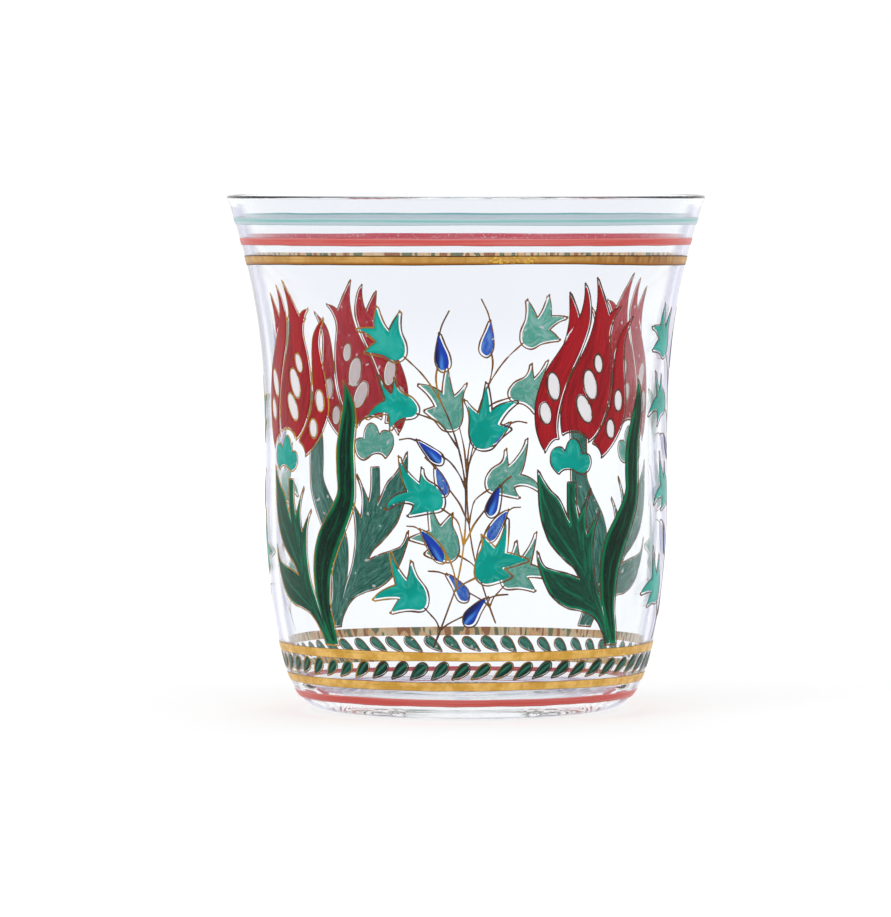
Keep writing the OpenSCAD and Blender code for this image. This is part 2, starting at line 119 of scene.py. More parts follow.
class Nodes:
    """One node tree, and short ways to add nodes to it and to join them."""

    def __init__(self, tree):
        self.tree = tree

    def join(self, value, socket):
        """Links a socket or sets a plain value. A colour of three values is opaque."""
        if isinstance(value, bpy.types.NodeSocket):
            self.tree.links.new(value, socket)
        elif socket.type == "RGBA":
            socket.default_value = (*value, 1.0)
        else:
            socket.default_value = value

    def add(self, kind, inputs=(), **settings):
        node = self.tree.nodes.new(kind)
        for setting, value in settings.items():
            setattr(node, setting, value)
        for socket, value in dict(inputs).items():
            self.join(value, node.inputs[socket])
        return node

    def math(self, operation, a, b=0.0, c=0.0, clamp=False):
        node = self.add("ShaderNodeMath", {0: a, 1: b, 2: c}, operation=operation, use_clamp=clamp)
        return node.outputs[0]

    def times(self, a, b, clamp=False):
        return self.math("MULTIPLY", a, b, clamp=clamp)

    def step(self, value, low, high, floor=0.0, top=1.0):
        """Floor below low, top above high, smooth between."""
        inputs = {"Value": value, "From Min": low, "From Max": high, "To Min": floor, "To Max": top}
        return self.add("ShaderNodeMapRange", inputs, interpolation_type="SMOOTHSTEP").outputs[0]

    def between(self, value, rise, fall):
        """One between two smooth slopes, each given by its ends, and zero outside them."""
        return self.math("SUBTRACT", self.step(value, *rise), self.step(value, *fall))

    def blend(self, factor, a, b):
        return self.add("ShaderNodeMix", {0: factor, 6: a, 7: b}, data_type="RGBA").outputs[2]

    def noise(self, vector, scale, detail=2.0, rough=0.5):
        inputs = {"Vector": vector, "Scale": scale, "Detail": detail, "Roughness": rough}
        return self.add("ShaderNodeTexNoise", inputs).outputs[0]

    def stretched(self, vector, x, y, z=1.0):
        return self.add("ShaderNodeVectorMath", {0: vector, 1: (x, y, z)}, operation="MULTIPLY").outputs[0]

    def place(self):
        return self.add("ShaderNodeTexCoord").outputs["Object"]

    def stroke(self):
        return self.add("ShaderNodeAttribute", attribute_name="stroke").outputs["Vector"]

    def parts(self, vector):
        return self.add("ShaderNodeSeparateXYZ", {0: vector}).outputs[:3]


class Finish(Nodes):
    """A material with one shader, whose plain values are given by the names of its sockets."""

    def __init__(self, name, **sockets):
        self.material = bpy.data.materials.new(name)
        self.material.use_nodes = True
        super().__init__(self.material.node_tree)
        self.shader = self.tree.nodes["Principled BSDF"]
        for socket, value in sockets.items():
            self.feed(socket.replace("_", " "), value)

    def feed(self, socket, value):
        self.join(value, self.shader.inputs[socket])

    def streaks(self, across, along, deep, detail=4.0, rough=0.6):
        """Noise that follows the brush strokes and changes at its own rate each way."""
        return self.noise(self.stretched(self.stroke(), across, along, deep), 1.0, detail, rough)

    def bump(self, height, strength, distance):
        inputs = {"Height": height, "Strength": strength, "Distance": distance}
        self.feed("Normal", self.add("ShaderNodeBump", inputs).outputs[0])

    def coloured(self, value):
        self.feed("Base Color", value)
        return self.material


def clear_glass():
    """Clear glass with a cool cast, and painted shade: a dark blue-grey where the wall is seen edge on, in
    faint drawn streaks.
    """
    glass = Finish("clear_glass", Roughness=0.0, IOR=1.5, Transmission_Weight=1.0,
                   Specular_Tint=(0.10, 0.10, 0.12))
    place = glass.place()
    below_lip = glass.step(glass.parts(place)[2], (GLASS_H - 0.9) * MM, (GLASS_H - 2.2) * MM)
    edge = glass.times(glass.add("ShaderNodeLayerWeight", {"Blend": 0.5}).outputs["Facing"], below_lip)
    drawn = glass.noise(glass.stretched(place, 90.0, 90.0, 5.0), 1.0, 3.0)
    streaky = glass.math("MULTIPLY_ADD", drawn, 2.4, -0.30)
    # painted shade: the wall seen edge on turns dark blue-grey, in streaks
    edge_shade = glass.times(glass.step(edge, 0.68, 0.82), streaky, clamp=True)
    return glass.coloured(glass.blend(edge_shade, (0.872, 0.888, 0.910), (0.20, 0.20, 0.38)))


def ring_numbers(radius):
    """Numbers of the points of a grid that closes on itself round the axis, and of those beside them."""
    n, m = radius.shape
    index = np.arange(n * m).reshape(n, m)
    return index, np.roll(index, -1, axis=1)


def blown_glass():
    """The wall's whole profile, from under the base up the outside, over the lip and down to the floor,
    carried round the axis on an even grid, with one point at each end of the axis."""
    around = np.linspace(0, 2 * np.pi, 288, endpoint=False)
    up = np.linspace(0, 1, 64)
    punt = np.linspace(0, 1, 15)[1:]
    ring = PUNT_R + (FOOT_R - PUNT_R) * np.array([0.03, 0.1, 0.3, 0.7, 0.9, 0.97, 0.995])
    high = np.linspace(WAIST_Z, LIP_OUT - 1.6, 42)[1:]
    near_lip = np.array([0.8, 0.4, 0.2, 0.1, 0.04, 0])
    outer_z = np.concatenate([WAIST_Z * up ** 2.2, high, LIP_OUT - near_lip])
    inner_z = np.concatenate([FLOOR_Z + (WAIST_Z - FLOOR_Z) * up ** 3, high, LIP_IN - near_lip])[::-1]
    lip = np.radians(np.linspace(0, 180, 25))[1:-1] - LIP_TILT
    lip_r = outer_radius(around, LIP_OUT) - LIP_R * math.cos(LIP_TILT)
    lip_z = LIP_OUT + LIP_R * math.sin(LIP_TILT)
    floor = np.linspace(1, 0, 15)[1:-1]
    top = PUNT_D + BASE_T
    rows = [(PUNT_R * s, PUNT_D * (1 - s * s)) for s in punt]
    rows += [(r, 0) for r in ring]
    rows += [(outer_radius(around, z), z) for z in outer_z]
    rows += [(lip_r + LIP_R * np.cos(a), lip_z + LIP_R * np.sin(a)) for a in lip]
    rows += [(inner_radius(around, z), z) for z in inner_z]
    rows += [(FLOOR_R * s, FLOOR_Z + (top - FLOOR_Z) * (1 - s * s)) for s in floor]
    radius = np.array([r + 0 * around for r, z in rows])
    height = np.array([z + 0 * around for r, z in rows])
    grid = np.stack([radius * np.sin(around), -radius * np.cos(around), height], -1).reshape(-1, 3)
    index, beside = ring_numbers(radius)
    quads = np.stack([index[:-1], beside[:-1], beside[1:], index[1:]], -1).reshape(-1, 4)
    points = np.concatenate([grid, [[0, 0, PUNT_D], [0, 0, top]]])
    under, floor_middle = np.full((2, len(around)), [[len(grid)], [len(grid) + 1]])
    fan_low = np.stack([under, beside[0], index[0]], -1)
    fan_high = np.stack([floor_middle, index[-1], beside[-1]], -1)
    return make_piece("blown_glass", points, [quads, fan_low, fan_high])


glass_piece = lay_on(blown_glass(), "glass_body", "clear_glass", clear_glass())
# Clear glass hardly dims what lies behind it, so it takes no light from the paint on its far side
glass_piece.visible_shadow = False
glass_piece.visible_diffuse = False

# The rim bands
# Three lines turned on with a brush while the glass spins: thin turquoise and red enamel that the
# light comes through, and a band of fired gold below them. Each is a low rounded ring on the wall.
AIR = 0.01  # paint lies this far off the smooth wall, so that no two skins share a place
BAND_T = 0.08


def on_wall(theta, z, h):
    """Points that stand h off the outer wall, square to it, at an angle round the glass and a height."""
    slope = (outer_radius(theta, z + 0.05) - outer_radius(theta, z - 0.05)) / 0.1
    tilt = np.sqrt(1 + slope * slope)
    radius = outer_radius(theta, z) + h / tilt
    return np.stack([radius * np.sin(theta), -radius * np.cos(theta), z - h * slope / tilt], -1)


def mark_strokes(piece, values):
    """Keeps three values a point, which say where it lies in the brush strokes."""
    mark = piece.data.attributes.new("stroke", "FLOAT_VECTOR", "POINT")
    mark.data.foreach_set("vector", np.asarray(values, np.float32).ravel())
    return piece


def turned_band(name, middle, width, seed, wobble=0.05, dip=0.0):
    """A ring on the wall: a low arch across, flat under it, with brushed edges that waver slowly. Dip is
    how far the line has sunk at the sides, and at the back it has sunk twice as far."""
    rng = np.random.default_rng(seed)
    around = np.linspace(0, 2 * np.pi, 360, endpoint=False)
    waves = np.array([3, 5, 8, 13, 21, 34])
    size, turn = rng.normal(0, 1, (2, 6)) / np.sqrt(waves), rng.uniform(0, 6.28, (2, 6))
    edge = wobble * np.einsum("ek,ekt->et", size, np.sin(waves[None, :, None] * around + turn[..., None]))
    centre = middle - dip * (1 - np.cos(around))
    low, high = centre - width / 2 + edge[0], centre + width / 2 + edge[1]
    across = (1 - np.cos(np.linspace(0, np.pi, 11))) / 2
    arch = BAND_T * np.sqrt(1 - (2 * across - 1) ** 4)
    z = low + (high - low) * across[:, None]
    over = on_wall(around[None, :], z, (arch[:, None] + AIR) + 0 * z)
    under = on_wall(around[None, :], z[1:-1][::-1], AIR + 0 * z[1:-1])
    grid = np.concatenate([over, under])
    index, beside = ring_numbers(grid[..., 0])
    above, above_beside = np.roll(index, -1, axis=0), np.roll(beside, -1, axis=0)
    quads = np.stack([index, beside, above_beside, above], -1).reshape(-1, 4)
    inner = np.repeat(np.arange(len(grid)) >= len(across) - 1, len(around))
    share = np.concatenate([across, across[1:-1][::-1]])
    stroke = np.stack(np.broadcast_arrays(share[:, None], around, 0.0), -1)
    return mark_strokes(make_piece(name, grid.reshape(-1, 3), [quads], inner), stroke)


def band_enamel(name, full, pale, edge, stripe, alpha, pits=0.0):
    """Thin enamel that lies full in one stripe of the band and pale beside it, with turned streaks and a
    fine lower edge in a tone of its own. Stripe gives the part of the width, counted from below, and
    pits how strongly small white pits show."""
    paint = Finish(name, Roughness=0.35, Specular_IOR_Level=0.15, Alpha=alpha)
    across = paint.parts(paint.stroke())[0]
    turned = paint.noise(paint.stretched(paint.place(), 60.0, 60.0, 3200.0), 1.0, 3.0)
    wavy = paint.math("ADD", across, paint.math("MULTIPLY_ADD", turned, 0.16, -0.08))
    inside = paint.between(wavy, *((end - 0.07, end + 0.07) for end in stripe))
    covered = paint.math("MULTIPLY_ADD", turned, 2.4, -0.35, clamp=True)
    tone = paint.blend(paint.times(inside, covered, clamp=True), pale, full)
    if pits:
        pit = paint.step(paint.noise(paint.place(), 2600.0, 2.0, 0.6), 0.62, 0.68)
        tone = paint.blend(paint.times(pit, pits), tone, (1.0, 0.94, 0.92))
    return paint.coloured(paint.blend(paint.step(across, 0.10, 0.04), tone, edge))


def fired_gold(name, edge_tone, body_tone, light_tone, seed, edge):
    """Satin gold with faint turned streaks and soft blotches, which the seed shifts. Returns the finish,
    its tone and its edges, which begin at a share of the width counted from the middle."""
    gold = Finish(name, Metallic=0.3, Roughness=0.42, Specular_IOR_Level=0.2)
    margin = gold.math("ABSOLUTE", gold.math("SUBTRACT", gold.parts(gold.stroke())[0], 0.5))
    turned = gold.noise(gold.stretched(gold.place(), 90.0, 90.0, 3000.0), 1.0, 3.0)
    blotch = gold.noise(gold.place(), 260.0 + seed, 4.0, 0.7)
    tone = gold.blend(gold.step(blotch, 0.38, 0.66), body_tone, light_tone)
    tone = gold.blend(gold.times(gold.step(turned, 0.5, 0.8), 0.25), tone, edge_tone)
    gold.bump(blotch, 0.2, 0.00005)
    return gold, tone, gold.step(margin, edge, edge + 0.05)


def rim_gold():
    """Gold that is darker along its lower side, with painted shade on the right, where it turns brown in
    upright streaks, and painted glints: bright specks right of the middle."""
    brown = (0.045, 0.018, 0.004)
    gold, tone, edges = fired_gold("rim_gold", brown, (0.54, 0.28, 0.065), (0.70, 0.41, 0.13), 0, 0.37)
    across, around = gold.parts(gold.stroke())[:2]
    upright = gold.step(gold.noise(gold.stretched(gold.stroke(), 0.3, 45.0), 1.0, 3.0), 0.35, 0.65)
    # painted shade: dark brown in upright streaks over the right of the band
    right_shade = gold.times(gold.between(around, (0.45, 0.70), (1.10, 1.35)),
                      gold.math("MULTIPLY_ADD", upright, 0.45, 0.35))
    tone = gold.blend(right_shade, tone, (0.22, 0.065, 0.008))
    tone = gold.blend(gold.step(across, 0.42, 0.16), tone, (0.38, 0.135, 0.010))
    # painted glints: bright yellow specks right of the middle
    speck = gold.step(gold.noise(gold.place(), 2300.0, 2.0, 0.6), 0.52, 0.62)
    painted_glints = gold.times(gold.between(around, (0.05, 0.13), (0.28, 0.34)), speck)
    return gold.coloured(gold.blend(edges, gold.blend(painted_glints, tone, (0.85, 0.55, 0.08)), brown))


def gold_through_glass():
    """The back of the gold, peach where it lies flat on the glass, with brown and grey-green patches that are
    painted reflections of the paint on the front wall.
    """
    back = Finish("gold_against_glass", Roughness=0.4, Specular_IOR_Level=0.1)
    across, around = back.parts(back.stroke())[:2]
    strip = back.add("ShaderNodeCombineXYZ", {0: around, 1: back.times(across, 0.012), 2: 0.0}).outputs[0]
    # painted reflections: brown and grey-green patches stand in for the front wall's paint mirrored in the
    # gold
    patch = back.noise(strip, 18.0, 1.0, 0.6)
    crack = back.step(back.noise(back.stretched(strip, 1.0, 0.3), 90.0, 2.0), 0.62, 0.66)
    blotch = back.noise(back.place(), 420.0, 3.0)
    tone = back.blend(back.step(blotch, 0.4, 0.65), (1.0, 0.62, 0.31), (1.0, 0.80, 0.50))
    tone = back.blend(back.step(patch, 0.56, 0.58), tone, (0.27, 0.29, 0.17))
    tone = back.blend(back.step(patch, 0.43, 0.41), tone, (0.52, 0.24, 0.12))
    return back.coloured(back.blend(back.times(crack, 0.7), tone, (0.22, 0.14, 0.08)))


GOLD_BACK = gold_through_glass()
TURQUOISE_LINE = (
    band_enamel("turquoise_line", (0.30, 0.68, 0.65), (0.66, 0.80, 0.84), (0.30, 0.52, 0.53),
                stripe=(0.46, 0.84), alpha=0.9),
    band_enamel("turquoise_line_through_glass", (0.26, 0.66, 0.64), (0.80, 0.92, 0.98), (0.6, 0.8, 0.85),
                stripe=(0.74, 1.3), alpha=0.85))
RED_LINE = (
    band_enamel("red_line", (0.78, 0.12, 0.105), (0.88, 0.30, 0.27), (0.36, 0.09, 0.08),
                stripe=(0.06, 0.90), alpha=0.95),
    band_enamel("red_line_through_glass", (0.80, 0.10, 0.13), (0.92, 0.34, 0.37), (1.0, 0.7, 0.7),
                stripe=(0.20, 1.3), alpha=0.97, pits=0.8))

lay_on(turned_band("turquoise_rim_line", middle=85.9, width=1.2, seed=11, dip=0.24),
       "turquoise_rim_band", "turquoise_enamel", *TURQUOISE_LINE)
lay_on(turned_band("red_rim_line", middle=82.4, width=1.25, seed=12, dip=0.32),
       "red_rim_band", "red_enamel", *RED_LINE)
lay_on(turned_band("gold_rim_line", middle=79.4, width=1.65, seed=13, dip=0.66),
       "gold_rim_band", "gold", rim_gold(), GOLD_BACK)

# The foot bands
# Two bands of bright fired gold frame the chain of leaves, and a thin red enamel line runs below
# them, where the foot turns in. They are turned on like the rim bands.


def foot_gold():
    """Bright gold, browned only in a hair line along both edges."""
    brown = (0.30, 0.13, 0.02)
    gold, tone, edges = fired_gold("foot_gold", brown, (0.66, 0.36, 0.055), (0.92, 0.58, 0.17), 30, 0.42)
    return gold.coloured(gold.blend(edges, tone, brown))


FOOT_GOLD = foot_gold()

lay_on(turned_band("upper_gold_foot_line", middle=11.35, width=1.6, seed=21),
       "upper_gold_foot_band", "gold", FOOT_GOLD, GOLD_BACK)
lay_on(turned_band("lower_gold_foot_line", middle=6.1, width=1.5, seed=22),
       "lower_gold_foot_band", "gold", FOOT_GOLD, GOLD_BACK)
lay_on(turned_band("red_foot_line", middle=3.15, width=1.35, seed=23, wobble=0.06),
       "red_foot_band", "red_enamel", *RED_LINE)

# The chain of leaves
# Fifty-six leaning drops of dark green enamel between the two gold lines, each laid with one touch
# of the brush and then ringed by hand with a fine gold-brown line.
CHAIN_COUNT, CHAIN_TURN, CHAIN_LEAN = 56, -1.8, 38.0
CHAIN_Z, CHAIN_H, CHAIN_LEAF_L, CHAIN_LEAF_W = 6.9, 3.65, 4.1, 1.75
UNROLLED_R = 35.5  # radius on which the flat drawing was unrolled
ENAMEL_STEP, ENAMEL_T, CHAIN_EDGE = 0.2, 0.07, 0.45
LINE_STEP, LINE_T, LINE_W, LINE_GAP, STEM_W = 0.12, 0.05, 0.27, 0.05, 0.30


def distance_to(points, path, closed):
    """Distance from each point to the nearest stretch of a line of points."""
    start = path if closed else path[:-1]
    end = np.roll(path, -1, axis=0) if closed else path[1:]
    way = end - start
    length2 = (way ** 2).sum(1) + 1e-12
    best = []
    for part in np.array_split(points, max(1, len(points) * len(start) // 2_000_000)):
        off = part[:, None, :] - start[None]
        along = np.clip((off * way).sum(2) / length2, 0, 1)
        gap = off - along[..., None] * way
        best.append(np.sqrt((gap ** 2).sum(2).min(1)))
    return np.concatenate(best)


def inside_of(points, path):
    """Whether each point lies within a closed line: an upward ray crosses the line an odd number of times."""
    a, b = path, np.roll(path, -1, axis=0)
    x, z = points[:, :1], points[:, 1:]
    spans = (a[:, 0] > x) != (b[:, 0] > x)
    run = np.where(b[:, 0] == a[:, 0], 1e-12, b[:, 0] - a[:, 0])
    level = a[:, 1] + (x - a[:, 0]) * (b[:, 1] - a[:, 1]) / run
    return ((spans & (level > z)).sum(1) % 2).astype(bool)


def depth_in(points, path, far=1.5):
    """Signed distance to a closed line, more than zero inside it. Far points get a coarse value."""
    near = ((points > path.min(0) - far) & (points < path.max(0) + far)).all(1)
    depth = np.full(len(points), -far)
    if near.any():
        d = distance_to(points[near], path, True)
        depth[near] = np.where(inside_of(points[near], path), d, -d)
    return depth


def flat_grid(low, high, step):
    """Even grid of points over a box of the flat drawing, as columns, rows and a list of points."""
    us = np.arange(low[0], high[0] + step, step)
    zs = np.arange(low[1], high[1] + step, step)
    u, z = np.meshgrid(us, zs)
    return u.shape, np.stack([u.ravel(), z.ravel()], 1)


def cut_out(shape, points, depth):
    """Triangles of the grid's part where depth is above zero. Each cell is two triangles, and a triangle
    that the edge crosses is cut at the places where depth, taken as a straight slope, is zero."""
    rows, columns = shape
    index = np.arange(rows * columns).reshape(shape)
    a, b = index[:-1, :-1].ravel(), index[:-1, 1:].ravel()
    c, d = index[1:, 1:].ravel(), index[1:, :-1].ravel()
    flip = ((np.arange(rows - 1)[:, None] + np.arange(columns - 1)) % 2).ravel().astype(bool)
    first = np.where(flip[:, None], np.stack([a, b, d], 1), np.stack([a, b, c], 1))
    second = np.where(flip[:, None], np.stack([b, c, d], 1), np.stack([a, c, d], 1))
    triangles = np.concatenate([first, second])
    depth = np.where(np.abs(depth) < 1e-6, -1e-6, depth)
    inside = depth[triangles] > 0
    count = inside.sum(1)
    whole = triangles[count == 3]
    total = rows * columns

    def turned(chosen, lead):
        return chosen[np.arange(len(chosen))[:, None], (lead[:, None] + np.arange(3)) % 3]

    one = turned(triangles[count == 1], inside[count == 1].argmax(1))
    two = turned(triangles[count == 2], (~inside[count == 2]).argmax(1))

    def key(p, q):
        return np.minimum(p, q) * total + np.maximum(p, q)

    keys = np.concatenate([key(one[:, 0], one[:, 1]), key(one[:, 0], one[:, 2]),
                           key(two[:, 0], two[:, 1]), key(two[:, 0], two[:, 2])])
    edges, back = np.unique(keys, return_inverse=True)
    p, q = edges // total, edges % total
    t = (depth[p] / (depth[p] - depth[q]))[:, None]
    crossing = points[p] * (1 - t) + points[q] * t
    cut = np.split(back.ravel() + total, np.cumsum([len(one), len(one), len(two)]))
    parts = [whole, np.stack([one[:, 0], cut[0], cut[1]], 1),
             np.stack([two[:, 1], two[:, 2], cut[3]], 1), np.stack([two[:, 1], cut[3], cut[2]], 1)]
    used, made = np.unique(np.concatenate(parts), return_inverse=True)
    everything = np.concatenate([points, crossing])
    every_depth = np.concatenate([depth, np.zeros(len(crossing))])
    return everything[used], made.reshape(-1, 3), np.maximum(every_depth[used], 0)


def laid_paint(name, patches, thick, rounding):
    """One piece of paint made of flat patches (points, triangles, depth, stroke marks, turn in degrees).
    The top is a pillow whose edge rounds over in a quarter circle, the underside lies just off the
    glass, and both share the outline, so each patch is closed."""
    all_points, all_faces, all_marks, inner = [], [], [], []
    offset = 0
    for flat, faces, depth, marks, turn in patches:
        theta = np.radians(turn) + flat[:, 0] / UNROLLED_R
        keep = depth > 0
        rise = np.clip(depth / rounding, 0, 1)
        top = on_wall(theta, flat[:, 1], thick * np.sqrt(1 - (1 - rise) ** 2) + AIR)
        under = on_wall(theta[keep], flat[keep, 1], np.full(keep.sum(), AIR))
        below = np.where(keep, len(flat) + np.cumsum(keep) - 1, np.arange(len(flat)))
        all_points += [top, under]
        all_faces += [faces + offset, below[faces][:, ::-1] + offset]
        inner += [np.zeros(len(faces), int), np.ones(len(faces), int)]
        all_marks += [marks, marks[keep]]
        offset += len(flat) + keep.sum()
    faces, inner = np.concatenate(all_faces), np.concatenate(inner)
    flat_out = (inner == 0) | (np.ptp(faces, axis=1) > 0)
    piece = make_piece(name, np.concatenate(all_points), [faces[flat_out]], inner[flat_out])
    return mark_strokes(piece, np.concatenate(all_marks))


def strokes_along(flat, depth, spines):
    """Where each point lies in the brush strokes: millimetres across and along the nearest stroke line,
    and the depth inside the outline. Strokes run from root to tip."""
    best = np.full(len(flat), 1e9)
    across, along = np.zeros(len(flat)), np.zeros(len(flat))
    for spine in spines:
        start, way = spine[:-1], np.diff(spine, axis=0)
        length = np.sqrt((way ** 2).sum(1))
        before = np.concatenate([[0], np.cumsum(length)[:-1]])
        off = flat[:, None, :] - start
        t = np.clip((off * way).sum(2) / length ** 2, 0, 1)
        gap = off - t[..., None] * way
        d = np.sqrt((gap ** 2).sum(2))
        k = d.argmin(1)
        row = np.arange(len(flat))
        side = np.sign(way[k, 0] * off[row, k, 1] - way[k, 1] * off[row, k, 0])
        nearer = d[row, k] < best
        best = np.where(nearer, d[row, k], best)
        across = np.where(nearer, side * d[row, k], across)
        along = np.where(nearer, before[k] + t[row, k] * length[k], along)
    return np.stack([across, along, depth], 1)


def smooth_line(shares, closed):
    """Fine line through points of the drawing: cubics through four points in a row, broken at tips and
    notches, which carry a third entry."""
    flat = np.array([p[:2] for p in shares], float)
    breaks = [len(p) > 2 for p in shares]
    n = len(flat)
    t = np.linspace(0, 1, 6, endpoint=False)[:, None]
    out = []
    for i in range(n if closed else n - 1):
        j = (i + 1) % n
        b, c = flat[i], flat[j]
        a = 2 * b - c if breaks[i] or (not closed and i == 0) else flat[i - 1]
        d = 2 * c - b if breaks[j] or (not closed and j == n - 1) else flat[(j + 1) % n]
        if breaks[i] and not breaks[j]:
            a = 3 * b - 3 * c + d
        if breaks[j] and not breaks[i]:
            d = 3 * c - 3 * b + a
        square, cube = 2 * a - 5 * b + 4 * c - d, 3 * b - a - 3 * c + d
        out.append((2 * b + (c - a) * t + square * t ** 2 + cube * t ** 3) / 2)
    if not closed:
        out.append(flat[-1:])
    return np.concatenate(out)


def drop_outline(length, width, lean):
    """Drop leaf: its half width follows a power of the way from the tip, times the root of the way left."""
    s = np.sin(np.linspace(0, np.pi / 2, 15)) ** 2
    half = s ** 1.1 * np.sqrt(1 - s)
    half = width / 2 * half / half.max()
    x = length * (s - 0.5)
    line = np.concatenate([np.stack([x, -half], 1), np.stack([x, half], 1)[-2:0:-1]])
    turn = np.radians(lean)
    return line @ np.array([[np.cos(turn), np.sin(turn)], [-np.sin(turn), np.cos(turn)]])


def leaf_enamel(name, deep, body, bright, reach=0.55, steady=0.40, vein_share=0.6):
    """Green enamel laid in strokes: bright where the brush pooled it along the edges and down the
    middle, dark and speckled between. Reach is the pooled edge's width and steady how little it breaks."""
    paint = Finish(name, Roughness=0.32, Specular_IOR_Level=0.09)
    across, _, depth = paint.parts(paint.stroke())
    streak = paint.streaks(2.6, 0.30, 0.6)
    speck = paint.step(paint.noise(paint.place(), 2600.0, 2.0, 0.6), 0.60, 0.72)
    drift = paint.noise(paint.place(), 140.0, 2.0)
    middle = paint.math("ABSOLUTE", paint.math("ADD", across, paint.math("SUBTRACT", drift, 0.5)))
    tone = paint.blend(paint.step(streak, 0.36, 0.66), deep, body)
    tone = paint.blend(paint.times(speck, 0.35), tone, bright)
    pooled = paint.times(paint.step(depth, reach, 0.3 * reach), paint.step(drift, steady, steady + 0.16))
    vein = paint.times(paint.step(middle, 0.34, 0.10), paint.step(streak, 0.34, 0.6))
    paint.bump(streak, 0.3, 0.00008)
    lit = paint.math("MAXIMUM", pooled, paint.times(vein, vein_share))
    return paint.coloured(paint.blend(lit, tone, bright))


def back_enamel(name, tone, chalk, across=3.0, along=0.5):
    """The same enamel seen from inside through the glass: paler and chalky, with the strokes showing. This is
    partly the underside's own look and partly painted light: the colours are set brighter than the front's,
    for the dim light behind the paint.
    """
    back = Finish(name, Roughness=0.5, Specular_IOR_Level=0.1)
    streak = back.step(back.streaks(across, along, 1.0, rough=0.65), 0.40, 0.64)
    grain = back.step(back.noise(back.place(), 1900.0, 2.0), 0.5, 0.75)
    pit = back.step(back.noise(back.place(), 800.0, 1.0), 0.70, 0.73)
    # painted light in part: the pale chalky tone is brighter than the front enamel
    mixed = back.blend(back.times(grain, 0.3), back.blend(streak, tone, chalk), chalk)
    return back.coloured(back.blend(back.times(pit, 0.8), mixed, (0.95, 0.93, 0.92)))


def gold_line():
    """Fine raised gold with painted light and shade: yellow in patches, above all on the left, and dark brown
    elsewhere.
    """
    line = Finish("gold_lines", Roughness=0.22, Specular_IOR_Level=0.35)
    place = line.place()
    # painted light and shade: the gold turns yellow towards the left and dark brown towards the right
    pooled = line.math("MULTIPLY_ADD", line.parts(place)[0], -5.0, line.noise(place, 55.0, 3.0, 0.6))
    fleck = line.noise(place, 700.0, 2.0)
    tone = line.blend(line.step(pooled, 0.42, 0.68), (0.080, 0.027, 0.007), (0.56, 0.275, 0.022))
    line.bump(fleck, 0.3, 0.00006)
    flecked = line.times(line.step(fleck, 0.5, 0.75), 0.5)
    return line.coloured(line.blend(flecked, tone, (0.20, 0.085, 0.012)))


GOLD_LINES = gold_line(), back_enamel("gold_lines_through_glass", (0.30, 0.105, 0.012), (0.72, 0.34, 0.06))
GREEN_BACK = back_enamel("green_through_glass", (0.018, 0.165, 0.112), (0.11, 0.39, 0.29), 2.2, 0.35)
CHAIN_GREEN = leaf_enamel("chain_green", (0.006, 0.026, 0.019), (0.011, 0.052, 0.036), (0.040, 0.20, 0.13),
                          reach=0.35, steady=0.46, vein_share=0.9)


def chain_of_leaves():
    """Lays every leaf of the chain and its ring, each with its own small slip of the hand."""
    rng = np.random.default_rng(41)
    leaves, rings = [], []
    for i in range(CHAIN_COUNT):
        slip = rng.normal(0, 1, 6)
        length, width = CHAIN_LEAF_L * (1 + 0.03 * slip[0]), CHAIN_LEAF_W * (1 + 0.05 * slip[1])
        line = drop_outline(length, width, CHAIN_LEAN + 2.5 * slip[2])
        line = line + [0.08 * slip[3], CHAIN_Z + CHAIN_H / 2 + 0.05 * slip[4]]
        turn = CHAIN_TURN + 360 * i / CHAIN_COUNT
        shape, points = flat_grid(line.min(0) - 0.3, line.max(0) + 0.3, ENAMEL_STEP)
        flat, faces, depth = cut_out(shape, points, depth_in(points, line))
        leaves.append((flat, faces, depth, strokes_along(flat, depth, [line[[0, 14]]]), turn))
        shape, points = flat_grid(line.min(0) - 0.8, line.max(0) + 0.8, LINE_STEP)
        away = -depth_in(points - [0.05, -0.03], line) - LINE_W / 2
        swell = 0.25 * np.sin(points[:, 0] * 1.7 + slip[5]) * np.sin(points[:, 1] * 2.1)
        flat, faces, depth = cut_out(shape, points, LINE_W / 2 * (1 + swell) - np.abs(away))
        rings.append((flat, faces, depth, np.stack([depth, 0 * depth, depth], 1), turn))
    lay_on(laid_paint("leaf_chain_paint", leaves, ENAMEL_T, CHAIN_EDGE),
           "leaf_chain", "green_enamel", CHAIN_GREEN, GREEN_BACK)
    lay_on(laid_paint("leaf_chain_rings", rings, LINE_T, LINE_W / 2),
           "leaf_chain_outlines", "gold", *GOLD_LINES)


chain_of_leaves()

# The tulips
# Four tulips, a quarter turn apart: three red petals with white spots, a turquoise calyx, a forked
# leaf that carries the flower and a long dark leaf beside it. Each colour is enamel floated on and
# fired, and a fine gold line is drawn round every field.
DRAWING_UNIT, DRAWING_Z, ENAMEL_EDGE = 0.64, 12.4, 0.5
QUARTERS = ("front", "right", "back", "left")
TULIP_TURNS, SPRAY_TURNS = (38.0, 127.0, 216.2, 304.8), (-9.0, 82.0, 171.0, 256.5)
LEAF_BOWS, TIP_DROPS, SPRAY_LEANS = (0, 0, -0.6, 3.3), (0.2, 0.8, 2.2, 0.8), (0, 1.0, 0, 0)

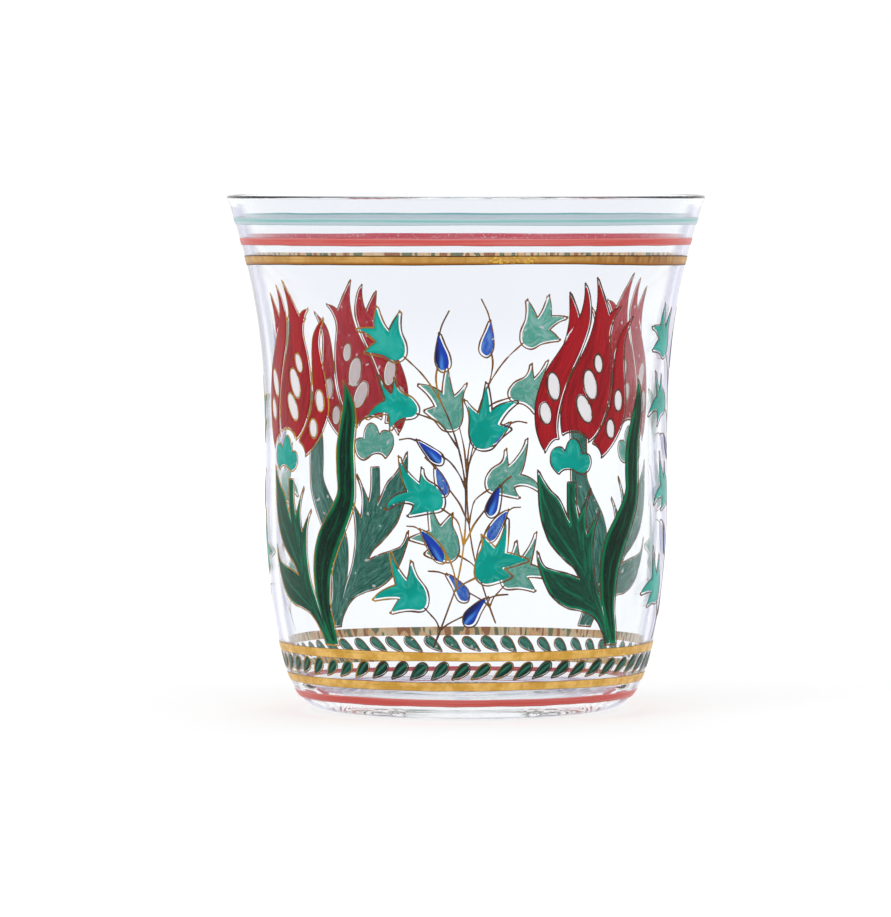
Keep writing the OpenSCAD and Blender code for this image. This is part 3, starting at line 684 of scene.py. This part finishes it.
# Outlines are percent shares of the drawing, 64 mm to the hundred. A third entry of 1 marks a tip,
# and one of 2 a notch
LEFT_PETAL = [
    [-5.2, 98, 1], [-3.9, 95.4], [-2.9, 91], [-3, 86.5], [-5, 80.2], [-8, 73.6], [-10.2, 67.4],
    [-11.4, 61.5], [-11.1, 56.8, 2], [-13, 56.2], [-14.9, 53.6, 1], [-16.9, 57.8], [-17.7, 63.4],
    [-16.8, 69.8], [-14.2, 75.9], [-10.3, 81.8], [-7.3, 87.2, 2], [-8.8, 85.2], [-9.9, 82.9, 1], [-9, 88.4],
    [-9.4, 95.6, 1], [-7.4, 91.8], [-6.3, 88.9, 2], [-5.1, 92.6]]
MIDDLE_PETAL = [
    [-1.6, 99.4, 1], [0.8, 95], [3.6, 89.5, 2], [5.2, 91], [7.2, 91.6, 1], [5.2, 88.6], [4.3, 84.5],
    [5.4, 78.5], [6, 71.8], [5, 64.8], [2.4, 59.4], [-1.1, 56.1, 1], [-2.8, 57.9], [-6, 58.9],
    [-9.7, 58, 2], [-10.1, 62.5], [-9.3, 68.6], [-6.8, 74.4], [-4, 79.7], [-1.8, 85.2], [-0.8, 91], [-1, 96]]
RIGHT_PETAL = [
    [12.6, 88.9, 1], [11.2, 85.8], [10.2, 81.5], [11, 75.3], [12, 69.6], [12.3, 64], [10.7, 59.4],
    [7.3, 55], [3.4, 51.8, 1], [2.3, 54], [0.2, 55.4, 2], [3, 59], [5.7, 63.4], [7, 68.6], [7.1, 74.6],
    [7.6, 80.4], [8.9, 84.8]]
CALYX = [
    [-9, 53.2], [-10.2, 54.2], [-11.8, 54.1], [-13.1, 52.9], [-13.1, 50], [-11, 47.5, 2], [-9.4, 48.6],
    [-7, 48.6], [-5, 47.7], [-3.5, 47.3], [-1.7, 48.2], [-0.8, 50.2], [-1.5, 52.1], [-3.9, 52.3, 2],
    [-4.4, 54.8], [-6, 56.5], [-7.8, 55.7]]
LEAVES = [
    [-8.1, 44.8, 2], [-8.2, 41], [-8, 37], [-7.3, 33.4, 2], [-9, 36.5], [-11, 40.3], [-14, 43.2],
    [-16.9, 47.8, 1], [-16.8, 42], [-16, 35.6], [-13.6, 29.4], [-9.4, 24.8], [-5.8, 22], [-3.5, 18.5, 2],
    [-7, 19.9], [-12.4, 21.4], [-15.2, 22.6], [-17, 26.2, 1], [-15.9, 21.2], [-12.8, 15.2], [-8, 11.6],
    [-2.6, 10.3], [2.2, 8.5], [5.8, 4.8], [8, 0.8, 2], [10.3, 0.8, 2], [7.75, 5.4], [5.8, 9.3], [4.1, 12.9],
    [2.1, 16.8], [0.8, 21.2], [0.2, 25.6], [0.2, 29.8], [0.9, 33.4], [2.3, 36.5, 1], [0.5, 34],
    [-1.8, 30.4, 2], [-2.4, 33], [-2.6, 36.4], [-2.1, 39.4], [-0.8, 42.5, 1], [-2.8, 38.8], [-4.7, 34.8, 2],
    [-5.5, 38], [-5.8, 41], [-5.8, 44.8, 2]]
LONG_LEAF = [
    [18.3, 71.4, 1], [17.4, 66.4], [15.2, 60.4], [13.3, 54], [12.9, 48], [13, 42.6], [11.2, 38.8],
    [8.4, 34.8], [5.6, 30.6], [4, 25.9], [3.5, 20.8], [3.9, 16.6], [4.5, 13], [5.85, 9.35], [7.75, 5.4],
    [10.35, 0.8, 2], [13, 0.8, 2], [11.7, 5.2], [10.2, 10], [9.9, 14.6], [10.4, 20.8], [12.7, 27.2],
    [15.9, 33.5], [18.2, 39.6], [18.6, 46.4], [18.8, 54], [20.2, 61.2], [20.3, 66.6]]
# White spots: middle across and up, half width, half height, lean to the left in degrees
SPOTS = {
    "left": [[-12.6, 70.8, 1.55, 3.6, 12], [-14.8, 63.6, 1.4, 2.7, 12]],
    "middle": [[1.3, 76.6, 1.2, 2.4, 15], [-1.1, 71, 1.9, 4, 18], [-2.8, 64.6, 1.8, 3.8, 28]],
    "right": [[9.4, 66.5, 1.4, 2.7, 5], [6.6, 59, 1.4, 2.4, 5]]}
# Stroke lines, from root to tip
LEFT_PETAL_STROKES = [
    [[-14.8, 54], [-14.6, 62], [-12.6, 70], [-8.6, 78.5], [-5, 87], [-4.8, 97]],
    [[-9.6, 84], [-8.3, 89], [-9.2, 95]]]
MIDDLE_PETAL_STROKES = [
    [[-2, 56.5], [-3.4, 64], [-1.4, 72], [1.2, 80], [1.6, 88], [-1.2, 98]],
    [[2.4, 84], [4.3, 89], [7, 91.4]]]
RIGHT_PETAL_STROKES = [[[3.4, 52.4], [7.6, 59], [9.8, 66], [9.4, 74], [8.9, 81], [12.2, 88.4]]]
CALYX_STROKES = [[[-6.8, 48], [-6.6, 56]], [[-7, 49], [-12.6, 52]], [[-6, 49], [-1.2, 50.6]]]
LEAVES_STROKES = [
    [[9.5, 1], [6, 7], [1.6, 13], [-1.4, 20], [-3.6, 28], [-5.6, 35], [-7, 44.5]],
    [[-2, 20], [-7, 26.5], [-12, 33], [-15.4, 40], [-16.7, 47]],
    [[2, 10.5], [-4, 13.8], [-10, 17], [-14.4, 22], [-16.8, 26]],
    [[-1.5, 22], [-3, 29], [-3, 36], [-1, 42]],
    [[0, 19], [-0.8, 27], [0.3, 33], [2.2, 36.4]]]
LONG_LEAF_STROKES = [
    [[11.6, 1], [9, 7], [7.3, 13], [6.9, 20], [8.6, 27], [12.3, 34], [15.4, 41], [15.8, 48], [16.4, 55],
     [18, 63], [18.3, 71]]]
CALYX_ARC = [[-9.5, 57.5], [-8, 58.3], [-5, 58.3], [-3, 57.5], [-1.9, 56]]


def drawn(shares):
    """Points of the drawing in millimetres round and up the wall."""
    return np.array([[p[0] * DRAWING_UNIT, DRAWING_Z + p[1] * DRAWING_UNIT] for p in shares])


def outline(shares):
    return drawn(smooth_line(shares, True))


def stroke_lines(spines):
    return [drawn(smooth_line(s, False)) for s in spines]


def oval(spot):
    """Outline of a white spot: an oval turned by its lean."""
    x, z, half_w, half_h, lean = spot
    a = np.linspace(0, 2 * np.pi, 28, endpoint=False)
    u, v = half_w * np.cos(a), half_h * np.sin(a)
    cos, sin = np.cos(np.radians(lean)), np.sin(np.radians(lean))
    return drawn(np.stack([x + u * cos - v * sin, z + u * sin + v * cos], 1))


def enamel_patch(line, strokes, holes=()):
    """Enamel inside a closed line, less the holes for the spots and the gold rings round them."""
    shape, points = flat_grid(line.min(0) - 0.4, line.max(0) + 0.4, ENAMEL_STEP)
    depth = depth_in(points, line)
    for hole in holes:
        depth = np.minimum(depth, -depth_in(points, hole) - LINE_W - LINE_GAP / 2)
    flat, faces, depth = cut_out(shape, points, depth)
    return flat, faces, depth, strokes_along(flat, depth, strokes)


def line_width(points, seed):
    """Half width of a gold line, which swells and thins as the hand presses."""
    u, z = points.T
    swell = np.sin(0.9 * u + seed) * np.sin(0.7 * z + 2 * seed) + 0.6 * np.sin(1.9 * u - 1.3 * z + seed)
    return LINE_W / 2 * (1 + 0.22 * swell)


def hand_slip(flat, quarter, part):
    """The same drawing painted again is never quite the same. In each quarter the leaves bow sideways
    by a sine of the height, the petals' tips end lower, the spray leans, and all points drift slowly."""
    leaf_top, petal_low, petal_rise, spray_middle, spray_reach = 72, 76, 23, 45, 35
    u, z = flat.T
    share = (z - DRAWING_Z) / DRAWING_UNIT
    phase = np.random.default_rng(100 + quarter).uniform(0, 6.28, 4)
    across = 0.07 * (np.sin(z / 9 + phase[0]) + 0.5 * np.sin(z / 4 + phase[1]))
    up = 0.07 * (np.sin(u / 7 + phase[2]) + 0.5 * np.sin(u / 3.3 + z / 11 + phase[3]))
    if part == "leaf":
        bow = np.sin(np.pi * np.clip(share, 0, leaf_top) / leaf_top)
        across = across + LEAF_BOWS[quarter] * DRAWING_UNIT * bow
    if part == "flower":
        up = up - TIP_DROPS[quarter] * np.clip((share - petal_low) / petal_rise, 0, 1) ** 1.5
    if part == "spray":
        across = across + SPRAY_LEANS[quarter] * (share - spray_middle) / spray_reach
    return flat + np.stack([across, up], 1)


def four_times(kind, node_kind, slot, groups, turns, thick, rounding, *materials):
    """Lays a drawing's patches, grouped by the part of the plant, on the wall in each quarter."""
    for i, quarter in enumerate(QUARTERS):
        patches = [(hand_slip(patch[0], i, part), *patch[1:], turns[i])
                   for part, group in groups.items() for patch in group]
        piece = laid_paint(f"{quarter}_{kind}", patches, thick, rounding)
        lay_on(piece, f"{quarter}_{node_kind}", slot, *materials)


def petal_red():
    """Deep red enamel in long strokes, a little brighter down the middle of the petal."""
    red = Finish("petal_red", Roughness=0.3, Specular_IOR_Level=0.15)
    streak = red.streaks(1.5, 0.16, 0.2)
    middle = red.step(red.math("ABSOLUTE", red.parts(red.stroke())[0]), 1.6, 0.2)
    tone = red.blend(red.step(streak, 0.34, 0.66), (0.26, 0.005, 0.010), (0.46, 0.009, 0.017))
    red.bump(streak, 0.3, 0.00008)
    return red.coloured(red.blend(red.times(middle, 0.4), tone, (0.53, 0.014, 0.022)))


def bell_turquoise():
    """Turquoise enamel that lies lighter in places, with pale strokes near the edges of the flower."""
    paint = Finish("bell_turquoise", Roughness=0.3, Specular_IOR_Level=0.1)
    depth = paint.parts(paint.stroke())[2]
    streak = paint.streaks(1.3, 0.22, 0.3)
    drift = paint.noise(paint.place(), 170.0, 2.0)
    fine = paint.times(paint.step(streak, 0.46, 0.70), paint.step(depth, 1.5, 0.7))
    broad = paint.times(paint.step(drift, 0.48, 0.66), paint.step(depth, 0.2, 0.7))
    pale = paint.math("MAXIMUM", paint.times(fine, 0.55), paint.times(broad, 0.35))
    tone = paint.blend(paint.step(drift, 0.34, 0.62), (0.0, 0.33, 0.26), (0.0, 0.43, 0.36))
    paint.bump(streak, 0.3, 0.00008)
    return paint.coloured(paint.blend(pale, tone, (0.12, 0.62, 0.52)))


def spot_white():
    """Opaque white enamel with a faint blush of the red."""
    white = Finish("spot_white", Roughness=0.35, Specular_IOR_Level=0.2)
    blush = white.step(white.noise(white.place(), 320.0, 3.0), 0.4, 0.7)
    return white.coloured(white.blend(white.times(blush, 0.6), (0.96, 0.94, 0.96), (0.90, 0.85, 0.87)))


RED = petal_red(), back_enamel("red_through_glass", (0.54, 0.012, 0.022), (0.72, 0.055, 0.070), 1.6, 0.3)
TURQUOISE = (bell_turquoise(),
             back_enamel("turquoise_through_glass", (0.12, 0.56, 0.42), (0.36, 0.76, 0.63), 1.6, 0.3))
WHITE = spot_white(), back_enamel("white_through_glass", (1.0, 0.78, 0.76), (1.0, 0.92, 0.90))
LEAF_GREEN = leaf_enamel("leaf_green", (0.010, 0.052, 0.034), (0.018, 0.090, 0.056), (0.008, 0.23, 0.11))
LONG_LEAF_GREEN = leaf_enamel("long_leaf_green", (0.002, 0.014, 0.009), (0.005, 0.040, 0.022),
                              (0.002, 0.20, 0.075), reach=0.85, steady=0.30, vein_share=0.35)


def drawn_field(shares, strokes, spots=()):
    return [enamel_patch(outline(shares), stroke_lines(strokes), [oval(s) for s in spots])]


every_spot = [oval(spot) for group in SPOTS.values() for spot in group]
tulip_fields = {
    "left_petal": ("flower", "red_enamel", RED,
                   drawn_field(LEFT_PETAL, LEFT_PETAL_STROKES, SPOTS["left"])),
    "middle_petal": ("flower", "red_enamel", RED,
                     drawn_field(MIDDLE_PETAL, MIDDLE_PETAL_STROKES, SPOTS["middle"])),
    "right_petal": ("flower", "red_enamel", RED,
                    drawn_field(RIGHT_PETAL, RIGHT_PETAL_STROKES, SPOTS["right"])),
    "white_spots": ("flower", "white_enamel", WHITE, [enamel_patch(s, [s[[7, 21]]]) for s in every_spot]),
    "calyx": ("flower", "turquoise_enamel", TURQUOISE, drawn_field(CALYX, CALYX_STROKES)),
    "leaves": ("leaf", "green_enamel", (LEAF_GREEN, GREEN_BACK), drawn_field(LEAVES, LEAVES_STROKES)),
    "long_leaf": ("leaf", "dark_green_enamel", (LONG_LEAF_GREEN, GREEN_BACK),
                  drawn_field(LONG_LEAF, LONG_LEAF_STROKES))}
for kind, (part, slot, finishes, patches) in tulip_fields.items():
    four_times(f"tulip_{kind}_paint", f"tulip_{kind}", slot, {part: patches}, TULIP_TURNS,
               ENAMEL_T, ENAMEL_EDGE, *finishes)


def tip_blobs(shape_shares):
    """Where the brush lifts off: a little beyond each tip of an outline, away from the points beside it."""
    places = []
    for shares in shape_shares:
        flat = drawn(shares)
        for i, p in enumerate(shares):
            if len(p) > 2 and p[2] == 1:
                way = flat[i] - (flat[i - 1] + flat[(i + 1) % len(flat)]) / 2
                places.append(flat[i] + 0.30 * way / np.linalg.norm(way))
    return places


def ringed(shape_shares, ovals, slide, gap, seed, strokes=(), blob=0.20):
    """Gold lines round a group of fields: a ring at one distance from their outlines, slid a little down
    and to the right as the painter's line is, cut back from the enamel, with a blob at each tip."""
    slide = np.array(slide)
    fields = [outline(s) for s in shape_shares]
    lines = stroke_lines(strokes)
    every = np.concatenate(fields + lines)
    shape, points = flat_grid(every.min(0) - 0.9, every.max(0) + 0.9, LINE_STEP)
    away = -np.max([depth_in(points, f) for f in fields], axis=0)
    slid = -np.max([depth_in(points - slide, f) for f in fields], axis=0)
    wide = line_width(points, seed)
    depth = wide - np.abs(slid - gap)
    for line in lines:
        near = ((points > line.min(0) - 0.6) & (points < line.max(0) + 0.6)).all(1)
        stem = wide[near] * STEM_W / LINE_W - distance_to(points[near], line, False)
        depth[near] = np.maximum(depth[near], stem)
    for place in tip_blobs(shape_shares):
        depth = np.maximum(depth, blob - np.linalg.norm((points - place) * [1.0, 0.8], axis=1))
    depth = np.minimum(depth, away)
    for spot in ovals:
        off = -depth_in(points - slide / 2, spot)
        depth = np.maximum(depth, wide - np.abs(off - LINE_GAP - LINE_W / 2))
    flat, faces, depth = cut_out(shape, points, depth)
    return [(flat, faces, depth, np.stack([depth, 0 * depth, depth + 0.1], 1))]


tulip_lines = {
    "flower": ringed([LEFT_PETAL, MIDDLE_PETAL, RIGHT_PETAL, CALYX], every_spot,
                     slide=(0.10, -0.06), gap=0.16, seed=0.4, strokes=[CALYX_ARC]),
    "leaf": ringed([LEAVES, LONG_LEAF], [], slide=(0.08, -0.04), gap=0.17, seed=2.4)}
four_times("tulip_lines", "tulip_gold_lines", "gold", tulip_lines, TULIP_TURNS,
           LINE_T, LINE_W / 2, *GOLD_LINES)

# The bellflower sprays
# Four sprays between the tulips: six turquoise bellflowers and five blue buds in enamel, carried
# by one long stem that rises from the gold foot line and by short stems of its own. Stems and
# outlines are one fine gold line, drawn after the colours.
BUD_T, BUD_EDGE = 0.08, 0.7
BELLS = [
    [[-15, 91.8, 1], [-13.8, 88], [-12, 85.4, 2], [-10.6, 88], [-8.8, 90.5, 1], [-9, 85.8], [-7.7, 82],
     [-8, 79], [-10.6, 77.7], [-14, 79.2], [-19, 79.9, 1], [-17.4, 81.4], [-15.4, 82.6, 2], [-18, 84.8],
     [-21, 86, 1], [-18.4, 86.3], [-15.9, 86.2, 2], [-15.8, 89]],
    [[-15.6, 73.6, 1], [-13.8, 70.8], [-11.5, 68.5, 2], [-11, 70.3], [-10.7, 72.6, 1], [-9.3, 69.4],
     [-6, 67.6], [-4.3, 65], [-5.4, 62.9], [-9, 62.1], [-12, 59.5, 1], [-12.1, 61.6], [-12.6, 63.6, 2],
     [-15.6, 63.6], [-18.8, 62.3, 1], [-16.6, 65], [-13.2, 67, 2], [-14, 69.6]],
    [[-9.6, 51.6, 1], [-8, 48.4], [-4, 44.6, 2], [-3.6, 46.4], [-3.3, 48.7, 1], [-2.4, 46], [0.6, 44],
     [2.4, 41.2], [1.8, 38.2], [-2, 37.3], [-6.9, 36.3, 1], [-6, 37.6], [-5.4, 39.4, 2], [-9, 40],
     [-13.4, 38.2, 1], [-11.4, 41], [-7, 42.6, 2], [-8.6, 46]],
    [[-12.4, 26, 1], [-10.8, 22.4], [-8, 18.6, 2], [-7.2, 20.4], [-6.5, 23.6, 1], [-5.3, 20], [-2.8, 16.4],
     [-2.4, 13], [-4, 11], [-8, 11.1], [-12.7, 10.3, 1], [-11.4, 12.3], [-9.8, 14.2, 2], [-13, 14.4],
     [-17.9, 13.8, 1], [-15, 16], [-10.8, 17.4, 2], [-11.6, 21]],
    [[8.6, 66.9, 1], [10.2, 65], [12.2, 63.4, 2], [13.2, 66.6], [14.1, 71.5, 1], [14.9, 67.6],
     [15.2, 63.9, 2], [18.4, 66.1], [22.4, 66.9, 1], [19.4, 64.2], [17.3, 60.8, 2], [20.6, 59.7, 1],
     [17.6, 57.2], [15, 54.5], [11.4, 54.7], [9.8, 58], [9.9, 63]],
    [[13, 30.9, 1], [14.4, 29.6], [16.3, 27.6, 2], [18.2, 30.4], [19.7, 35.4, 1], [19.6, 30.6],
     [19.2, 26.4, 2], [22, 25.8], [25.4, 24.5, 1], [21.6, 23.4], [18.3, 22.5, 2], [20.8, 20.3, 1],
     [17.6, 19], [13.6, 18.3], [11.2, 20.6], [11.5, 24.6], [13.1, 28]]]
BELL_ROOTS = [[-8, 79], [-4.9, 63.6], [1.6, 38.8], [-3, 11.6], [11.4, 55.4], [12, 19.6]]
BUDS = [
    [[1.6, 84.6, 1], [0.8, 80.6], [0.8, 77.2], [2.3, 75.2], [4.1, 76.4], [3.9, 79], [2.6, 82]],
    [[-4.3, 56.3, 1], [-1, 54.6], [1.9, 52.6], [1.9, 50.4], [-0.4, 50.9], [-2.6, 53.6]],
    [[17.7, 44.1, 1], [15.6, 41.6], [14, 38.3], [15, 36.4], [16.8, 37.4], [17.6, 41]],
    [[-3.6, 32.3, 1], [-0.4, 30.2], [2.4, 26.8], [2.4, 24.2], [0.2, 24.6], [-1.9, 28.2]],
    [[14.4, 14.3, 1], [11.4, 12.9], [8.2, 10.1], [8.2, 7.3], [10.6, 7.5], [12.4, 11]]]
BUD_ROOTS = [[2.5, 75.2], [1.7, 50.8], [15.2, 36.6], [1.9, 24.4], [8.6, 7.6]]
STEMS = [
    [[-0.7, 0.8], [1.3, 5.4], [3.9, 12], [5.9, 17.4], [7.5, 24.5], [8.4, 32], [8.6, 40], [8.2, 47],
     [6.6, 55], [3.9, 63], [0.8, 69], [-3.2, 74.4], [-8, 78.9]],
    [[1.3, 5.4], [0.2, 7.9], [-1.2, 9.5], [-3.6, 12]],
    [[1.3, 5.4], [3.6, 7.2], [8, 9.5]],
    [[5.2, 15.6], [7.4, 17.8], [12, 20.2]],
    [[5.8, 17.2], [5.6, 20], [4.4, 24], [1.8, 28]],
    [[8.1, 28.6], [9.4, 31], [11, 34.3], [14.6, 39]],
    [[8, 28.4], [7.3, 32], [6, 35.4], [1.4, 38.8]],
    [[8.5, 43.6], [7, 47.2], [4.4, 50.8], [1.4, 52.7]],
    [[8.7, 42], [9.2, 48.4], [11, 56]],
    [[6.9, 54], [3.4, 59.3], [0.4, 61.9], [-5.2, 63.8]],
    [[2, 66.8], [1.2, 70], [0.8, 73.4], [1.4, 77]],
    [[1.6, 84.2], [2.4, 87.2], [4.3, 91]],
    [[-4, 56.1], [-6.6, 56.9], [-9.4, 56.5]],
    [[17.4, 43.4], [19.2, 45.6], [20.9, 46.9]],
    [[-3.4, 32], [-5.2, 33.2], [-7.5, 33.4]],
    [[14, 14.1], [17.2, 15.1], [20.2, 15.3]]]


def bud_blue():
    """Cobalt enamel: nearly black along the upper side, bright blue below, with one pale touch."""
    blue = Finish("bud_blue", Roughness=0.25, Specular_IOR_Level=0.2)
    across, along = blue.parts(blue.stroke())[:2]
    streak = blue.streaks(1.6, 0.3, 0.3, detail=3.0, rough=0.5)
    side = blue.math("ADD", across, blue.math("MULTIPLY_ADD", streak, 0.7, -0.35))
    tone = blue.blend(blue.step(side, 0.75, -0.1), (0.004, 0.010, 0.10), (0.008, 0.05, 0.46))
    lit = blue.times(blue.step(blue.math("ABSOLUTE", side), 0.5, 0.0), blue.step(along, 3.6, 1.0))
    return blue.coloured(blue.blend(lit, tone, (0.06, 0.28, 0.80)))


BLUE = bud_blue(), back_enamel("blue_through_glass", (0.035, 0.15, 0.82), (0.18, 0.42, 0.95), 1.8, 0.4)


def bell_strokes(shares, root):
    """From the flower's root through its body to each point."""
    body = np.mean([p for p in shares if len(p) == 2], axis=0)
    heart = ((np.array(root) + 2 * body) / 3).tolist()
    return [[root, heart, p[:2]] for p in shares if len(p) > 2 and p[2] == 1]


bell_patches = [patch for b, r in zip(BELLS, BELL_ROOTS) for patch in drawn_field(b, bell_strokes(b, r))]
bud_patches = [patch for b, r in zip(BUDS, BUD_ROOTS) for patch in drawn_field(b, [[r, b[0][:2]]])]
spray_lines = ringed(BELLS + BUDS, [], slide=(0.16, -0.10), gap=0.27, seed=1.7, strokes=STEMS)
four_times("spray_bells_paint", "spray_bells", "turquoise_enamel", {"spray": bell_patches}, SPRAY_TURNS,
           ENAMEL_T, ENAMEL_EDGE, *TURQUOISE)
four_times("spray_buds_paint", "spray_buds", "blue_enamel", {"spray": bud_patches}, SPRAY_TURNS,
           BUD_T, BUD_EDGE, *BLUE)
four_times("spray_lines", "spray_gold_stems", "gold", {"spray": spray_lines}, SPRAY_TURNS,
           LINE_T, LINE_W / 2, *GOLD_LINES)

# The studio
# A plain white floor and room, soft light from all round with one large soft lamp on each side and
# one behind, and a long lens that looks a little down, as in the photograph. Sizes are in metres.
CAMERA_PLACE, CAMERA_AIM, LENS = Vector((0, -1.2657, 0.1001)), Vector((-0.0036, 0, 0.04395)), 283.3
FLOOR_GAP, FLOOR_REACH = 0.0001, 12.0  # the gap keeps the foot and the floor off one plane
LAMP_SIZE, LAMP_AIM = 0.8, Vector((0, 0, 0.05))
LAMPS = {
    "left_softbox": ((-0.9, -0.9, 0.7), 3.2),
    "right_softbox": ((1.0, -0.7, 0.5), 1.8),
    "back_softbox": ((0.2, 1.1, 0.9), 2.0)}


def seen_directly(nodes, straight=1.0):
    """One for rays by reflection or through glass, and straight for those right from the camera."""
    path = nodes.add("ShaderNodeLightPath").outputs
    seen = nodes.times(path["Is Camera Ray"], straight)
    for ray in ("Is Glossy Ray", "Is Transmission Ray"):
        seen = nodes.math("ADD", seen, path[ray], clamp=True)
    return seen


def white_room():
    world = bpy.data.worlds.new("white_room")
    world.use_nodes = True
    room = Nodes(world.node_tree)
    white = room.blend(seen_directly(room), (0.72, 0.72, 0.73), (1, 1, 1))
    room.join(white, room.tree.nodes["Background"].inputs["Color"])
    bpy.context.scene.world = world


def white_floor():
    """A wide square whose own white, as the camera sees it, grows away from the glass, so that the
    glass's soft shadow still shows near it."""
    mesh = bpy.data.meshes.new("floor")
    square = ((-1, -1), (1, -1), (1, 1), (-1, 1))
    corners = [(x * FLOOR_REACH, y * FLOOR_REACH, -FLOOR_GAP) for x, y in square]
    mesh.from_pydata(corners, [], [(0, 1, 2, 3)])
    floor = bpy.data.objects.new("floor", mesh)
    bpy.context.scene.collection.objects.link(floor)
    white = Finish("white_floor", Roughness=1.0, Specular_IOR_Level=0.0, Emission_Color=(1, 1, 1))
    away = white.add("ShaderNodeVectorMath", {0: white.place()}, operation="LENGTH").outputs["Value"]
    grown = white.step(away, 0.10, 0.45, 0.62, 0.95)
    white.feed("Emission Strength", white.times(seen_directly(white, grown), 0.55))
    mesh.materials.append(white.coloured((0.8, 0.8, 0.8)))


def soft_lamp(name, place, power):
    data = bpy.data.lights.new(name, "AREA")
    data.shape, data.size, data.energy = "SQUARE", LAMP_SIZE, power
    lamp = bpy.data.objects.new(name, data)
    lamp.location = place
    lamp.rotation_euler = (LAMP_AIM - Vector(place)).to_track_quat("-Z", "Y").to_euler()
    lamp.visible_camera = False
    lamp.visible_transmission = False
    bpy.context.scene.collection.objects.link(lamp)


white_room()
white_floor()
for lamp_name, (lamp_place, lamp_power) in LAMPS.items():
    soft_lamp(lamp_name, lamp_place, lamp_power)

camera_data = bpy.data.cameras.new("camera")
camera_data.lens, camera_data.sensor_width = LENS, 36.0
camera_data.clip_start, camera_data.clip_end = 0.05, 20
camera = bpy.data.objects.new("camera", camera_data)
camera.location = CAMERA_PLACE
camera.rotation_euler = (CAMERA_AIM - CAMERA_PLACE).to_track_quat("-Z", "Y").to_euler()
bpy.context.scene.collection.objects.link(camera)
bpy.context.scene.camera = camera
bpy.context.scene.view_settings.view_transform = "Standard"
# Light that is caught in the thick foot and the rim turns many times before it leaves
bpy.context.scene.cycles.max_bounces = 64
bpy.context.scene.cycles.glossy_bounces = 48
bpy.context.scene.cycles.transmission_bounces = 64
